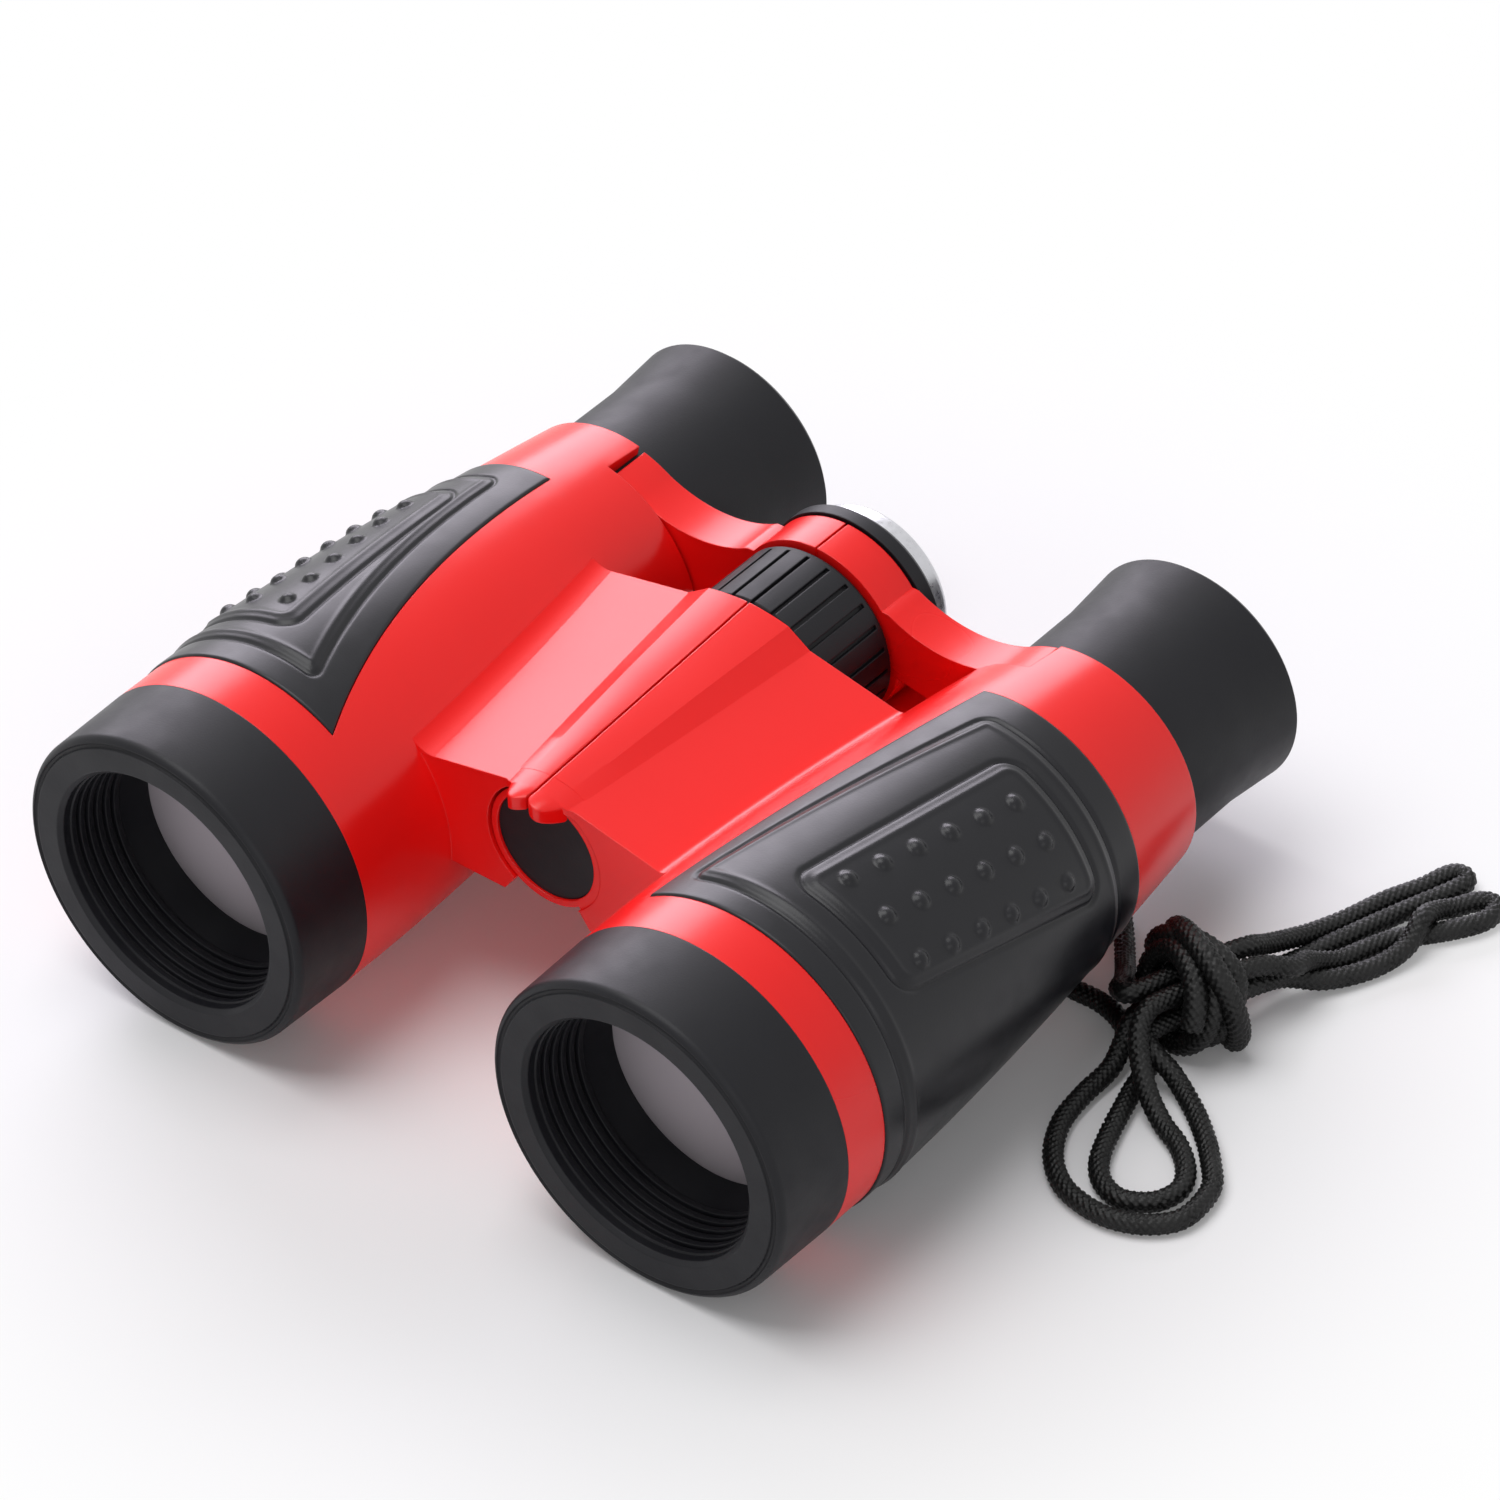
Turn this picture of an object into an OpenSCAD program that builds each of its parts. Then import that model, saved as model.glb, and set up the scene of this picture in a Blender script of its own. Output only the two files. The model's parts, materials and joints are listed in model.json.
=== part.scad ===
// Toy binoculars: two barrels on a centre hinge, with a focus wheel that slides the eyepieces

/* [Layout] */
// Distance between the two barrel axes with the bridge fully open
eye_spacing = 63.5; // [62:0.5:68]
// Height of the hinge axis above the barrel axes
hinge_rise = 6; // [5.6:0.1:6.6]
// How far the focus wheel can push the eyepieces back
focus_travel = 5; // [3:0.5:5]

/* [Objective hoods] */
// Length of a hood in front of its barrel
hood_length = 10.4; // [9.5:0.1:12]
// Radius of the plain lip at the front opening
opening_r = 14.3; // [13.9:0.1:15]
// Width of the hood's front, from that opening to the outside
rim_width = 4.5; // [4:0.1:5]
// How much wider a hood is at its rear
hood_taper = 0.2; // [0.1:0.05:0.6]
// Rounding of the hood's front edge
hood_round = 1; // [0.7:0.1:1.6]
// Length of that lip
lip_length = 1; // [0.8:0.1:2]
// Number of stepped ribs behind the lip
rib_count = 6; // [4:1:6]
// Distance from one rib to the next
rib_pitch = 1.1; // [0.9:0.05:1.2]
// How much each rib is narrower than the one before
rib_step = 0.2; // [0.1:0.05:0.25]
// Depth of the groove behind each rib
rib_groove = 0.45; // [0.2:0.05:0.5]
// Distance from the last rib to the lens
lens_setback = 3.6; // [2:0.1:3.8]
// Length of the hood's spigot inside its barrel
spigot_length = 7.4; // [6.5:0.1:9]

/* [Objective lenses] */
// How much smaller an objective lens is than the opening
lens_inset = 0.4; // [0.2:0.1:0.8]
// Width of the shoulder that the lens sits against
lens_shoulder = 1.3; // [0.8:0.1:1.6]
// Thickness of the lens behind that shoulder
lens_edge = 2; // [1.5:0.1:3]
// Radius of the lens's front curve
lens_curve_r = 54; // [40:1:90]
// Length of the ring that holds the lens
lens_ring_length = 3.4; // [2.5:0.1:4]

/* [Barrels] */
// Length of the red ring behind a hood
ring_length = 5.8; // [4.5:0.1:7]
// Length of a barrel from its ring to its collar
barrel_length = 64; // [62:0.5:70]
// Wall of a barrel
barrel_wall = 2.2; // [2:0.1:2.8]
// How late the barrel narrows: one is a straight cone
taper_power = 1.6; // [1.2:0.1:2]
// Length of the plain bore that guides an eyepiece
guide_length = 18.4; // [16:0.2:22]
// Wall of the collar round that bore
collar_wall = 1.15; // [1:0.05:1.6]

/* [Grips] */
// Depth of a grip's seat in the barrel
grip_depth = 0.9; // [0.6:0.05:1.1]
// How far a grip stands above the barrel
grip_proud = 0.2; // [0.1:0.05:0.4]
// Distance from the grip's rear edge to the collar's end
grip_setback = 11.8; // [11:0.2:14]
// Top edge of a grip, measured inwards from the barrel axis at the front
grip_edge_front = 10.6; // [9:0.1:12]
// The same at the rear of the right grip
right_edge_rear = 4.2; // [3:0.1:6]
// The same at the rear of the left grip, where its edge curves
left_edge_rear = 0.8; // [0.2:0.1:3]
// Bottom edge of a grip, measured outwards from the barrel axis
grip_bottom = 5; // [3:0.5:8]
// Distance from a grip's outline to the line raised along it
line_inset = 3.2; // [2.5:0.1:4]
// Width of the raised lines
line_width = 0.8; // [0.5:0.1:1.2]
// Height of the raised lines
line_height = 0.3; // [0.2:0.05:0.5]
// Radius of a grip dot's sphere
dot_r = 1.1; // [0.9:0.05:1.3]
// How far a dot stands up
dot_height = 0.6; // [0.4:0.05:0.8]
// Distance between dots along the barrel
dot_pitch = 4.5; // [3.6:0.1:5]
// Angle between the rows of dots
dot_row_angle = 16.2; // [14:0.2:18]

/* [Bridge] */
// Distance from the ring's front to the wings
wing_setback = 13.6; // [12.5:0.1:15]
// Length of the wings
wing_length = 34; // [32:0.5:36]
// Depth of the wings below the barrel axes
wing_depth = 2.2; // [1.5:0.1:3.5]
// Fall of the wings towards the barrels, in degrees
wing_slope = 11.7; // [9:0.1:13]
// Rise of the wings towards the rear, in degrees
wing_climb = 2.7; // [2:0.1:4]
// Skin of the hump over the hinge at its front
hump_skin = 0.65; // [0.6:0.05:1]
// Height of the hump above the hinge axis at its rear
hump_rear_rise = 10.8; // [10.2:0.1:11.6]
// Radius of the hump at its rear
hump_rear_r = 14; // [12:0.5:16]
// How far the hump's nose stands in front of the wings
nose_length = 2; // [1:0.1:2.6]
// Thickness of the shelves beside the wheel
shelf_thickness = 1.5; // [1:0.1:2]

/* [Hinge] */
// Radius of the hinge knuckles
knuckle_r = 7.25; // [6.8:0.05:7.6]
// Number of knuckles, shared by the two halves
knuckle_count = 4; // [2:2:6]
// Radius of the hinge axle
axle_r = 2.5; // [2:0.1:2.9]
// Width of the red rim round the front cap
cap_rim = 0.8; // [0.7:0.05:1.2]
// Thickness of the front cap
cap_thickness = 1.6; // [1.2:0.1:2]
// Depth of the cap below the knuckle's face
cap_recess = 0.3; // [0.2:0.1:0.6]

/* [Focus wheel] */
// Radius of the focus wheel
wheel_r = 10.3; // [9.6:0.1:10.8]
// Length of the focus wheel
wheel_length = 10.7; // [10:0.1:11.4]
// Number of grooves round the wheel
wheel_grooves = 24; // [16:1:30]
// Width of a groove
wheel_groove_width = 0.5; // [0.3:0.05:0.8]
// Depth of a groove
wheel_groove_depth = 0.5; // [0.3:0.05:0.8]
// Radius of the focus screw
screw_r = 4.2; // [3.9:0.1:4.5]
// Wall of the focus nut
nut_wall = 1.75; // [1.4:0.05:1.9]

/* [Rear bridge] */
// Radius of the hub between the two arms
hub_r = 10.65; // [10.2:0.05:11.2]
// Wall of the hub's shell
hub_wall = 2.35; // [1.8:0.05:2.6]
// Length of the arms along the barrels
arm_length = 5.2; // [4.6:0.1:6]
// Radius of the blend from the hub to the eyepieces
blend_r = 16; // [13:0.5:20]
// Thickness of an arm's saddle on its eyepiece
saddle_thickness = 0.8; // [0.6:0.05:0.95]
// Radius of the rear cap
rear_cap_r = 10.9; // [10.4:0.1:11.4]
// Length of the rear cap
rear_cap_length = 2.4; // [2:0.1:3]
// Radius of the silver disc on the cap
disc_r = 9.5; // [8.8:0.1:10]
// Thickness of that disc
disc_length = 2.5; // [2.3:0.1:3.2]

/* [Eyepieces] */
// Outer radius of an eyepiece tube
tube_r = 13.05; // [12.6:0.05:13.4]
// Wall of an eyepiece tube
tube_wall = 1.65; // [1.3:0.05:2]
// Length of tube that shows behind the collar
tube_show = 19.2; // [17:0.2:22]
// How much the eyecup flares
flare = 0.65; // [0.3:0.05:1]
// Length of the flare
flare_length = 8; // [5:0.5:10]
// Depth of the eyecup in front of the eye
eyecup_depth = 7.5; // [6:0.25:9]
// Radius of an eyepiece lens
eye_lens_r = 10.4; // [9.8:0.1:10.8]
// Thickness of an eyepiece lens at its edge
eye_lens_edge = 2.2; // [1.6:0.1:3]

/* [Strap] */
// Width of a strap lug where it stands on the ground
lug_width = 5; // [4:0.25:7]
// Length of a strap lug along the barrel
lug_length = 4.6; // [4:0.2:6]
// Distance from the lug to the collar's end
lug_setback = 3.8; // [3:0.2:5]
// Radius of the hole through a lug
lug_hole_r = 1.2; // [1.1:0.05:1.3]
// Wall below that hole
lug_floor = 1; // [0.8:0.05:1.1]
// Diameter of the neck cord
cord_d = 2; // [1.6:0.1:2.1]

/* [Hidden] */
$fn = 96;
// Sides of the widest arcs, so that their steps stay small
fine_fn = 360;

// Overrun of every cut past the face that it opens
over = 0.5;
// Clearance between pieces that pass each other, between sliding or turning fits, and at glued seats
gap = 0.3;
run = 0.05;
seat = 0.03;

// Radii of the hood, the red ring behind it and the lens, which follow from the opening
hood_front_r = opening_r + rim_width;
ring_r = hood_front_r + hood_taper;
lens_r = opening_r - lens_inset;

// Stations along a barrel, measured back from the hood's rim
bx = eye_spacing / 2;
axis_height = ring_r;
ring_rear = hood_length + ring_length;
collar_rear = hood_length + barrel_length;
overall_length = collar_rear + tube_show;
front_y = -overall_length / 2;
guide_front = collar_rear - guide_length;
socket_rear = hood_length + spigot_length + gap;
wing_front = hood_length + wing_setback;
wing_rear = wing_front + wing_length;
wheel_front = wing_rear + gap;
wheel_rear = wheel_front + wheel_length;
arm_front = wheel_rear + gap;
arm_rear = arm_front + arm_length;
cap_front = arm_rear + gap;
cap_rear = cap_front + rear_cap_length;
disc_rear = cap_rear + disc_length;

// Radii that follow from their neighbours
guide_r = tube_r + run;
collar_r = guide_r + collar_wall;
spigot_r = ring_r - barrel_wall;
lens_view_r = lens_r - lens_shoulder;
saddle_r = tube_r + saddle_thickness;
tunnel_r = knuckle_r + gap;
bore_r = axle_r + run;
cap_r = knuckle_r - cap_rim;
hump_front_r = tunnel_r + hump_skin;
nut_bore_r = screw_r + run;
nut_r = screw_r + run + nut_wall;
hub_tunnel_r = hub_r - hub_wall;
hub_knuckle_r = hub_tunnel_r - gap;

// Outer radius of a barrel at a station
function body_r(d) = ring_r - (ring_r - collar_r)
    * pow(max(0, d - ring_rear) / (collar_rear - ring_rear), taper_power);

// Stations from one place to another, ends included
function stations(from, to, steps) = [for (i = [0 : steps]) from + (to - from) * i / steps];
barrel_steps = 12;
cavity_steps = 5;

// Turns a shape drawn along Z so that it runs back along Y
module along_y() {
    rotate([-90, 0, 0]) children();
}

// A drawing in X and Z, made solid between two stations
module slab(front, rear) {
    translate([0, rear, 0]) rotate([90, 0, 0]) linear_extrude(rear - front) children();
}

// A round bar about an axis along Y
module rod(r, front, rear) {
    translate([0, front, 0]) along_y() cylinder(r = r, h = rear - front);
}

// Puts a piece drawn for the right half on its own side: x counts outwards from the hinge
module half(side) {
    translate([0, front_y, axis_height]) {
        if (side > 0) children();
        else mirror([1, 0, 0]) children();
    }
}

module on_barrel() {
    translate([bx, 0, 0]) children();
}

module on_hinge() {
    translate([0, 0, hinge_rise]) children();
}

// Revolves a profile of radius and station about a barrel axis
module turned(points) {
    along_y() rotate_extrude() polygon(points);
}

// Barrel body, its cavity and its wall between two offsets from the outer surface
module barrel_outside() {
    turned(concat([[0, hood_length], [ring_r, hood_length]],
        [for (d = stations(ring_rear, collar_rear, barrel_steps)) [body_r(d), d]],
        [[0, collar_rear]]));
}

module barrel_cavity() {
    turned(concat([[0, hood_length - over], [spigot_r + seat, hood_length - over],
                   [spigot_r + seat, socket_rear]],
        [for (d = stations(socket_rear, guide_front, cavity_steps)) [body_r(d) - barrel_wall, d]],
        [[guide_r, guide_front], [guide_r, collar_rear + over], [0, collar_rear + over]]));
}

module barrel_skin(low, high, front, rear) {
    near = stations(front, rear, barrel_steps);
    far = stations(rear, front, barrel_steps);
    turned(concat([for (d = near) [body_r(d) + low, d]], [for (d = far) [body_r(d) + high, d]]));
}

// Grip outline
grip_front = ring_rear;
grip_rear = collar_rear - grip_setback;
grip_span = grip_rear - grip_front;
grip_reach = ring_r + grip_proud + dot_height + over;
// Radius of the left grip's top edge, which runs level with the barrel at its rear
left_edge_drop = grip_edge_front - left_edge_rear;
left_edge_r = (grip_span * grip_span + left_edge_drop * left_edge_drop) / (2 * left_edge_drop);

module grip_top_region(side, inset) {
    if (side > 0)
        polygon([[inset - grip_edge_front, grip_front + inset], [inset - right_edge_rear, grip_rear - inset],
                 [grip_reach, grip_rear - inset], [grip_reach, grip_front + inset]]);
    else
        difference() {
            translate([-grip_reach, grip_front + inset]) square([2 * grip_reach, grip_span - 2 * inset]);
            translate([-left_edge_r - left_edge_rear, grip_rear]) circle(left_edge_r + inset, $fn = fine_fn);
        }
}

module grip_mask(side, inset) {
    linear_extrude(grip_reach) grip_top_region(side, inset);
    translate([grip_bottom + inset, grip_front + inset, -grip_reach])
        cube([grip_reach, grip_span - 2 * inset, grip_reach + over]);
}

// Raised panel round the dots, as shares of the grip: places along it, and across as seen square on
panel_angle = 39;
panel_front_share = 0.17;
panel_rear_share = 0.82;
panel_lean_shares = [-0.55, 0.2, 0.5, -0.32];
panel_round = 2.5;

module panel_outline(inset) {
    front = grip_front + panel_front_share * grip_span;
    rear = grip_front + panel_rear_share * grip_span;
    lean = panel_lean_shares * ring_r;
    offset(r = panel_round - inset, $fn = 24) offset(delta = -panel_round)
        polygon([[lean[0], front], [lean[1], front], [lean[2], rear], [lean[3], rear]]);
}

module panel_ridge() {
    intersection() {
        barrel_skin(-grip_depth / 2, grip_proud + line_height, grip_front, grip_rear);
        rotate([0, panel_angle, 0]) linear_extrude(grip_reach) difference() {
            panel_outline(0);
            panel_outline(line_width);
        }
    }
}

module edge_line(side) {
    intersection() {
        barrel_skin(-grip_depth / 2, grip_proud + line_height, grip_front, grip_rear);
        difference() {
            grip_mask(side, line_inset);
            grip_mask(side, line_inset + line_width);
        }
    }
}

// Dots stand in rows that drift outwards towards the rear
dot_rows = 3;
dots_in_row = 6;
dot_first_angle = 15;
dot_drift = 2.9;
dot_first_share = 0.265;

module grip_dots() {
    for (row = [0 : dot_rows - 1], i = [0 : dots_in_row - 1]) {
        d = grip_front + dot_first_share * grip_span + i * dot_pitch;
        rotate([0, dot_first_angle + row * dot_row_angle + i * dot_drift, 0])
            translate([0, d, body_r(d) - grip_depth / 2]) intersection() {
                translate([0, 0, grip_depth / 2 + grip_proud + dot_height - dot_r]) sphere(dot_r, $fn = 24);
                cylinder(r = dot_r, h = grip_reach);
            }
    }
}

module grip(side) {
    color([0.13, 0.13, 0.15]) half(side) on_barrel() {
        intersection() {
            barrel_skin(-grip_depth, grip_proud, grip_front, grip_rear);
            grip_mask(side, seat);
        }
        panel_ridge();
        edge_line(side);
        grip_dots();
    }
}

// Wings and the hump over the hinge
nose_front = wing_front - nose_length;
nose_width_share = 0.55;
nose_width = nose_width_share * hump_front_r;
wing_top = hinge_rise + hump_front_r;
hump_rear_z = hinge_rise + hump_rear_rise - hump_rear_r;
hump_length = wing_rear - nose_front;
hump_tilt = atan2(hinge_rise - hump_rear_z, hump_length);
hump_axis_length = norm([hump_length, hinge_rise - hump_rear_z]);
hump_grow = (hump_rear_r - hump_front_r) / hump_axis_length;
// Angle below the hinge that each half leaves free for the other to fold into
fold_relief = 35;
seam = gap / 2;

module hump_cone() {
    translate([0, nose_front, hinge_rise]) rotate([-hump_tilt, 0, 0])
        translate([0, -hump_front_r, 0]) along_y()
            cylinder(r1 = hump_front_r * (1 - hump_grow), r2 = hump_rear_r + hump_front_r * hump_grow,
                     h = hump_axis_length + 2 * hump_front_r);
}

module wing_plan() {
    polygon([[seam, nose_front], [nose_width, wing_front], [bx, wing_front],
             [bx, wing_rear], [seam, wing_rear]]);
}

module wing_block() {
    low = -wing_depth;
    difference() {
        translate([0, 0, low]) linear_extrude(wing_top + hump_rear_rise - low) wing_plan();
        difference() {
            translate([-over, wing_front, wing_top])
                rotate([wing_climb, wing_slope, 0]) translate([-bx, -bx, 0])
                    cube([eye_spacing + bx, wing_length + eye_spacing, bx]);
            hump_cone();
        }
    }
}

// Shelf beside the wheel, level with the wing's underside
module wheel_shelf() {
    translate([0, wing_rear - over, -wing_depth])
        cube([bx, wheel_rear - wing_rear + over, shelf_thickness]);
}

// Room below the hinge, between the inner ends of the two lower wings
module fold_room() {
    reach = hinge_rise + wing_depth + over;
    on_hinge() slab(nose_front - over, arm_front)
        polygon([[-over, 0], [0, 0], [reach * tan(fold_relief), -reach], [-over, -reach]]);
}

// Knuckles share the hinge's length: even ones belong to the right half, odd ones to the left
ring_front = wing_front + gap;
knuckle_length = (wing_rear - ring_front - (knuckle_count - 1) * gap) / knuckle_count;
function knuckle_start(i) = ring_front + i * (knuckle_length + gap);
function owner(i) = i % 2 == 0 ? 1 : -1;

module hinge_room(side) {
    on_hinge() {
        rod(tunnel_r, nose_front - over, ring_front);
        for (i = [0 : knuckle_count - 1])
            if (owner(i) != side)
                rod(tunnel_r, knuckle_start(i) - gap, knuckle_start(i) + knuckle_length + gap);
    }
}

module knuckles(side) {
    on_hinge() for (i = [0 : knuckle_count - 1])
        if (owner(i) == side) rod(knuckle_r, knuckle_start(i), knuckle_start(i) + knuckle_length);
}

// Counterbore for the cap and the axle's head in the front knuckle
axle_head_r = axle_r + cap_thickness;
axle_head_length = cap_thickness;
cap_seat = ring_front + cap_recess;
axle_front = cap_seat + cap_thickness;
head_rear = axle_front + axle_head_length;

// Notch in the collar for the arm, as angles from the top of the barrel towards the hinge
notch_top = 13;
notch_low = 86;
saddle_top = 16;
saddle_low = 77;
peg_angle = 50;

function inward(angle, r) = [-r * sin(angle), r * cos(angle)];

module wedge(from, to, r) {
    polygon([[0, 0], inward(from, r), inward((from + to) / 2, r), inward(to, r)]);
}

module notch() {
    slab(arm_front - gap, collar_rear + over) wedge(notch_top, notch_low, eye_spacing);
}

// Strap lug, which is also a rear foot
lug_rear = collar_rear - lug_setback;
lug_front = lug_rear - lug_length;
lug_flare = lug_width / 4;
lug_hole_z = lug_floor + lug_hole_r - axis_height;

module lug() {
    slab(lug_front, lug_rear)
        polygon([[-lug_width / 2, -axis_height], [lug_width / 2, -axis_height],
                 [lug_width / 2 + lug_flare, -guide_r], [-lug_width / 2 - lug_flare, -guide_r]]);
}

module barrel(side) {
    color([0.9, 0.1, 0.09]) half(side) difference() {
        union() {
            on_barrel() {
                barrel_outside();
                lug();
            }
            difference() {
                union() {
                    wing_block();
                    wheel_shelf();
                }
                hinge_room(side);
                on_hinge() rod(wheel_r + gap, wing_rear, arm_front);
                fold_room();
            }
            knuckles(side);
        }
        on_barrel() {
            barrel_cavity();
            notch();
            translate([0, 0, lug_hole_z]) rod(lug_hole_r, lug_front - over, lug_rear + over);
            intersection() {
                barrel_skin(-grip_depth - seat, barrel_wall, grip_front, grip_rear);
                grip_mask(side, 0);
            }
        }
        on_hinge() {
            rod(bore_r, nose_front, wing_rear + over);
            if (side > 0) {
                rod(cap_r + seat, ring_front - over, axle_front);
                rod(axle_head_r + seat, axle_front - over, head_rear);
            }
        }
    }
}

// Objective hood: rounded rim, plain lip, stepped ribs, lens seat and spigot
rim_chamfer = 0.5;
rim_groove = 0.3;
rib_front = lip_length + rim_chamfer;
lens_front = rib_front + rib_count * rib_pitch + lens_setback;
spigot_rear = hood_length + spigot_length;
rib_land_share = 0.6;

function rib_points() = [for (i = [0 : rib_count - 1], k = [0, 1, 2, 3])
    [opening_r - (i + 1) * rib_step + (k < 2 ? 0 : rib_groove),
     rib_front + (i + (k == 0 ? 0 : k == 3 ? 1 : rib_land_share)) * rib_pitch]];

module hood_profile() {
    polygon(concat(
        [[hood_front_r - hood_round, 0], [hood_front_r - hood_round, hood_round], [hood_front_r, hood_round],
         [ring_r, hood_length], [spigot_r, hood_length], [spigot_r, spigot_rear],
         [lens_r + seat, spigot_rear], [lens_r + seat, lens_front], [lens_view_r, lens_front]],
        [for (i = [rib_count * 4 - 1 : -1 : 0]) rib_points()[i]],
        [[opening_r, rib_front], [opening_r, rim_chamfer], [opening_r + rim_chamfer, 0]]));
    translate([hood_front_r - hood_round, hood_round]) circle(hood_round);
}

module objective_hood(side) {
    color([0.15, 0.15, 0.17]) half(side) on_barrel() along_y() rotate_extrude() difference() {
        hood_profile();
        translate([hood_front_r - hood_round, 0]) circle(rim_groove);
    }
}

// Radius about the barrel axis at which the lens's curve meets its shoulder sets the curve's centre
lens_centre = lens_front + sqrt(lens_curve_r * lens_curve_r - lens_view_r * lens_view_r);
lens_rear = lens_front + lens_edge;

module objective_lens(side) {
    color([0.55, 0.5, 0.56, 0.5]) half(side) on_barrel() along_y() rotate_extrude() intersection() {
        square([lens_r, lens_rear]);
        translate([0, lens_centre]) circle(lens_curve_r, $fn = fine_fn);
    }
}

module lens_ring(side) {
    color([0.12, 0.12, 0.13]) half(side) on_barrel()
        turned([[lens_view_r, lens_rear], [lens_r, lens_rear],
                [lens_r, lens_rear + lens_ring_length], [lens_view_r, lens_rear + lens_ring_length]]);
}

// Hinge axle with a head at the front, and the screw that closes its rear end
screw_rear = cap_rear - gap;
axle_rear = screw_rear + run;
tip_screw_r = axle_r / 2;
tip_screw_length = arm_length;
tip_head_r = (bore_r + screw_r) / 2;
tip_head_length = disc_length / 2;

module hinge_axle() {
    color([0.7, 0.7, 0.72]) half(1) on_hinge() difference() {
        union() {
            rod(axle_head_r, axle_front, head_rear);
            rod(axle_r, axle_front, axle_rear);
        }
        rod(tip_screw_r + seat, axle_rear - tip_screw_length - gap, axle_rear + over);
    }
}

module axle_screw() {
    color([0.75, 0.75, 0.77]) half(1) on_hinge() {
        rod(tip_screw_r, axle_rear - tip_screw_length, axle_rear + tip_head_length);
        rod(tip_head_r, axle_rear, axle_rear + tip_head_length);
    }
}

module front_hinge_cap() {
    color([0.16, 0.16, 0.18]) half(1) on_hinge() rod(cap_r, cap_seat, axle_front);
}

// Focus wheel with flats between narrow grooves, and the screw sleeve pressed into it
wheel_chamfer = 0.5;
wheel_rim = 1;
sleeve_seat = wheel_length / 2;

module focus_wheel() {
    color([0.13, 0.13, 0.15]) half(1) on_hinge() difference() {
        turned([[bore_r, wheel_front], [wheel_r - wheel_chamfer, wheel_front],
                [wheel_r, wheel_front + wheel_chamfer], [wheel_r, wheel_rear - wheel_chamfer],
                [wheel_r - wheel_chamfer, wheel_rear], [bore_r, wheel_rear]]);
        rod(screw_r + seat, wheel_rear - sleeve_seat, wheel_rear + over);
        for (i = [0 : wheel_grooves - 1])
            rotate([0, i * 360 / wheel_grooves, 0])
                translate([-wheel_groove_width / 2, wheel_front - over, wheel_r - wheel_groove_depth])
                    cube([wheel_groove_width, wheel_length + over - wheel_rim, wheel_groove_depth + over]);
    }
}

module focus_screw() {
    color([0.2, 0.2, 0.22]) half(1) on_hinge() difference() {
        rod(screw_r, wheel_rear - sleeve_seat, screw_rear);
        rod(bore_r, wheel_front, axle_rear + over);
    }
}

// Nut that the screw drives: it carries both arms and the rear cap
nut_front = arm_front + gap;
nut_rear = cap_rear - gap;

module focus_nut() {
    color([0.75, 0.75, 0.72]) half(1) on_hinge() difference() {
        rod(nut_r, nut_front, nut_rear);
        rod(nut_bore_r, nut_front - over, nut_rear + over);
    }
}

cap_round = 0.8;

module rear_cap() {
    color([0.13, 0.13, 0.15]) half(1) on_hinge()
        turned([[nut_r + seat, cap_front], [rear_cap_r, cap_front], [rear_cap_r, cap_rear - cap_round],
                [rear_cap_r - cap_round, cap_rear], [nut_r + seat, cap_rear]]);
}

disc_round = 0.9;
disc_recess_r = nut_bore_r;
disc_recess = tip_head_length + run + gap;

module rear_cap_disc() {
    color([0.72, 0.72, 0.74]) half(1) on_hinge() along_y() rotate_extrude() difference() {
        union() {
            polygon([[0, cap_rear], [disc_r, cap_rear], [disc_r, disc_rear - disc_round],
                     [disc_r - disc_round, disc_rear - disc_round], [disc_r - disc_round, disc_rear],
                     [0, disc_rear]]);
            translate([disc_r - disc_round, disc_rear - disc_round]) circle(disc_round);
        }
        translate([0, cap_rear - over]) square([disc_recess_r, disc_recess + over]);
    }
}

// Arm: half a hub, a web that blends into it, and a saddle pegged to the eyepiece tube
hub_reach = norm([bx, hinge_rise]);
// The blend bites a little into the hub and the saddle, so that their arcs cross
blend_bite = 0.05;
blend_hub = hub_r + blend_r - blend_bite;
blend_tube = saddle_r + blend_r - blend_bite;
blend_along = (blend_hub * blend_hub - blend_tube * blend_tube + hub_reach * hub_reach) / (2 * hub_reach);
blend_up = sqrt(blend_hub * blend_hub - blend_along * blend_along);
hub_centre = [0, hinge_rise];
tube_centre = [bx, 0];
web_dir = (tube_centre - hub_centre) / hub_reach;
blend_centre = hub_centre + blend_along * web_dir + blend_up * [-web_dir[1], web_dir[0]];
web_inner_r = (tube_r + saddle_r) / 2;
hub_tangent = hub_centre + (blend_centre - hub_centre) * hub_tunnel_r / blend_hub;
tube_tangent = tube_centre + (blend_centre - tube_centre) * web_inner_r / blend_tube;
hub_low_angle = 35;
peg_r = arm_length / 4;
peg_depth_share = 0.7;
peg_depth = peg_depth_share * tube_wall;
arm_knuckle = (arm_length - gap) / 2;

// Side of the hub that one arm covers, from the seam at the top round to the lower edge
module hub_side() {
    intersection() {
        translate([seam, -hub_r]) square([hub_r, 2 * hub_r]);
        polygon([[0, 0], [0, 2 * hub_r], [2 * hub_r, 2 * hub_r], [2 * hub_r, 0],
                 [2 * hub_r * cos(hub_low_angle), -2 * hub_r * sin(hub_low_angle)]]);
    }
}

module arm_outline() {
    translate(hub_centre) intersection() {
        circle(hub_r);
        hub_side();
    }
    difference() {
        polygon([[seam, hinge_rise], hub_tangent, tube_tangent, tube_centre]);
        translate(blend_centre) circle(blend_r);
        translate(tube_centre) circle(tube_r + seat);
    }
    translate(tube_centre) difference() {
        intersection() {
            circle(saddle_r);
            wedge(saddle_top, saddle_low, eye_spacing);
        }
        circle(tube_r + seat);
    }
}

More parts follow.
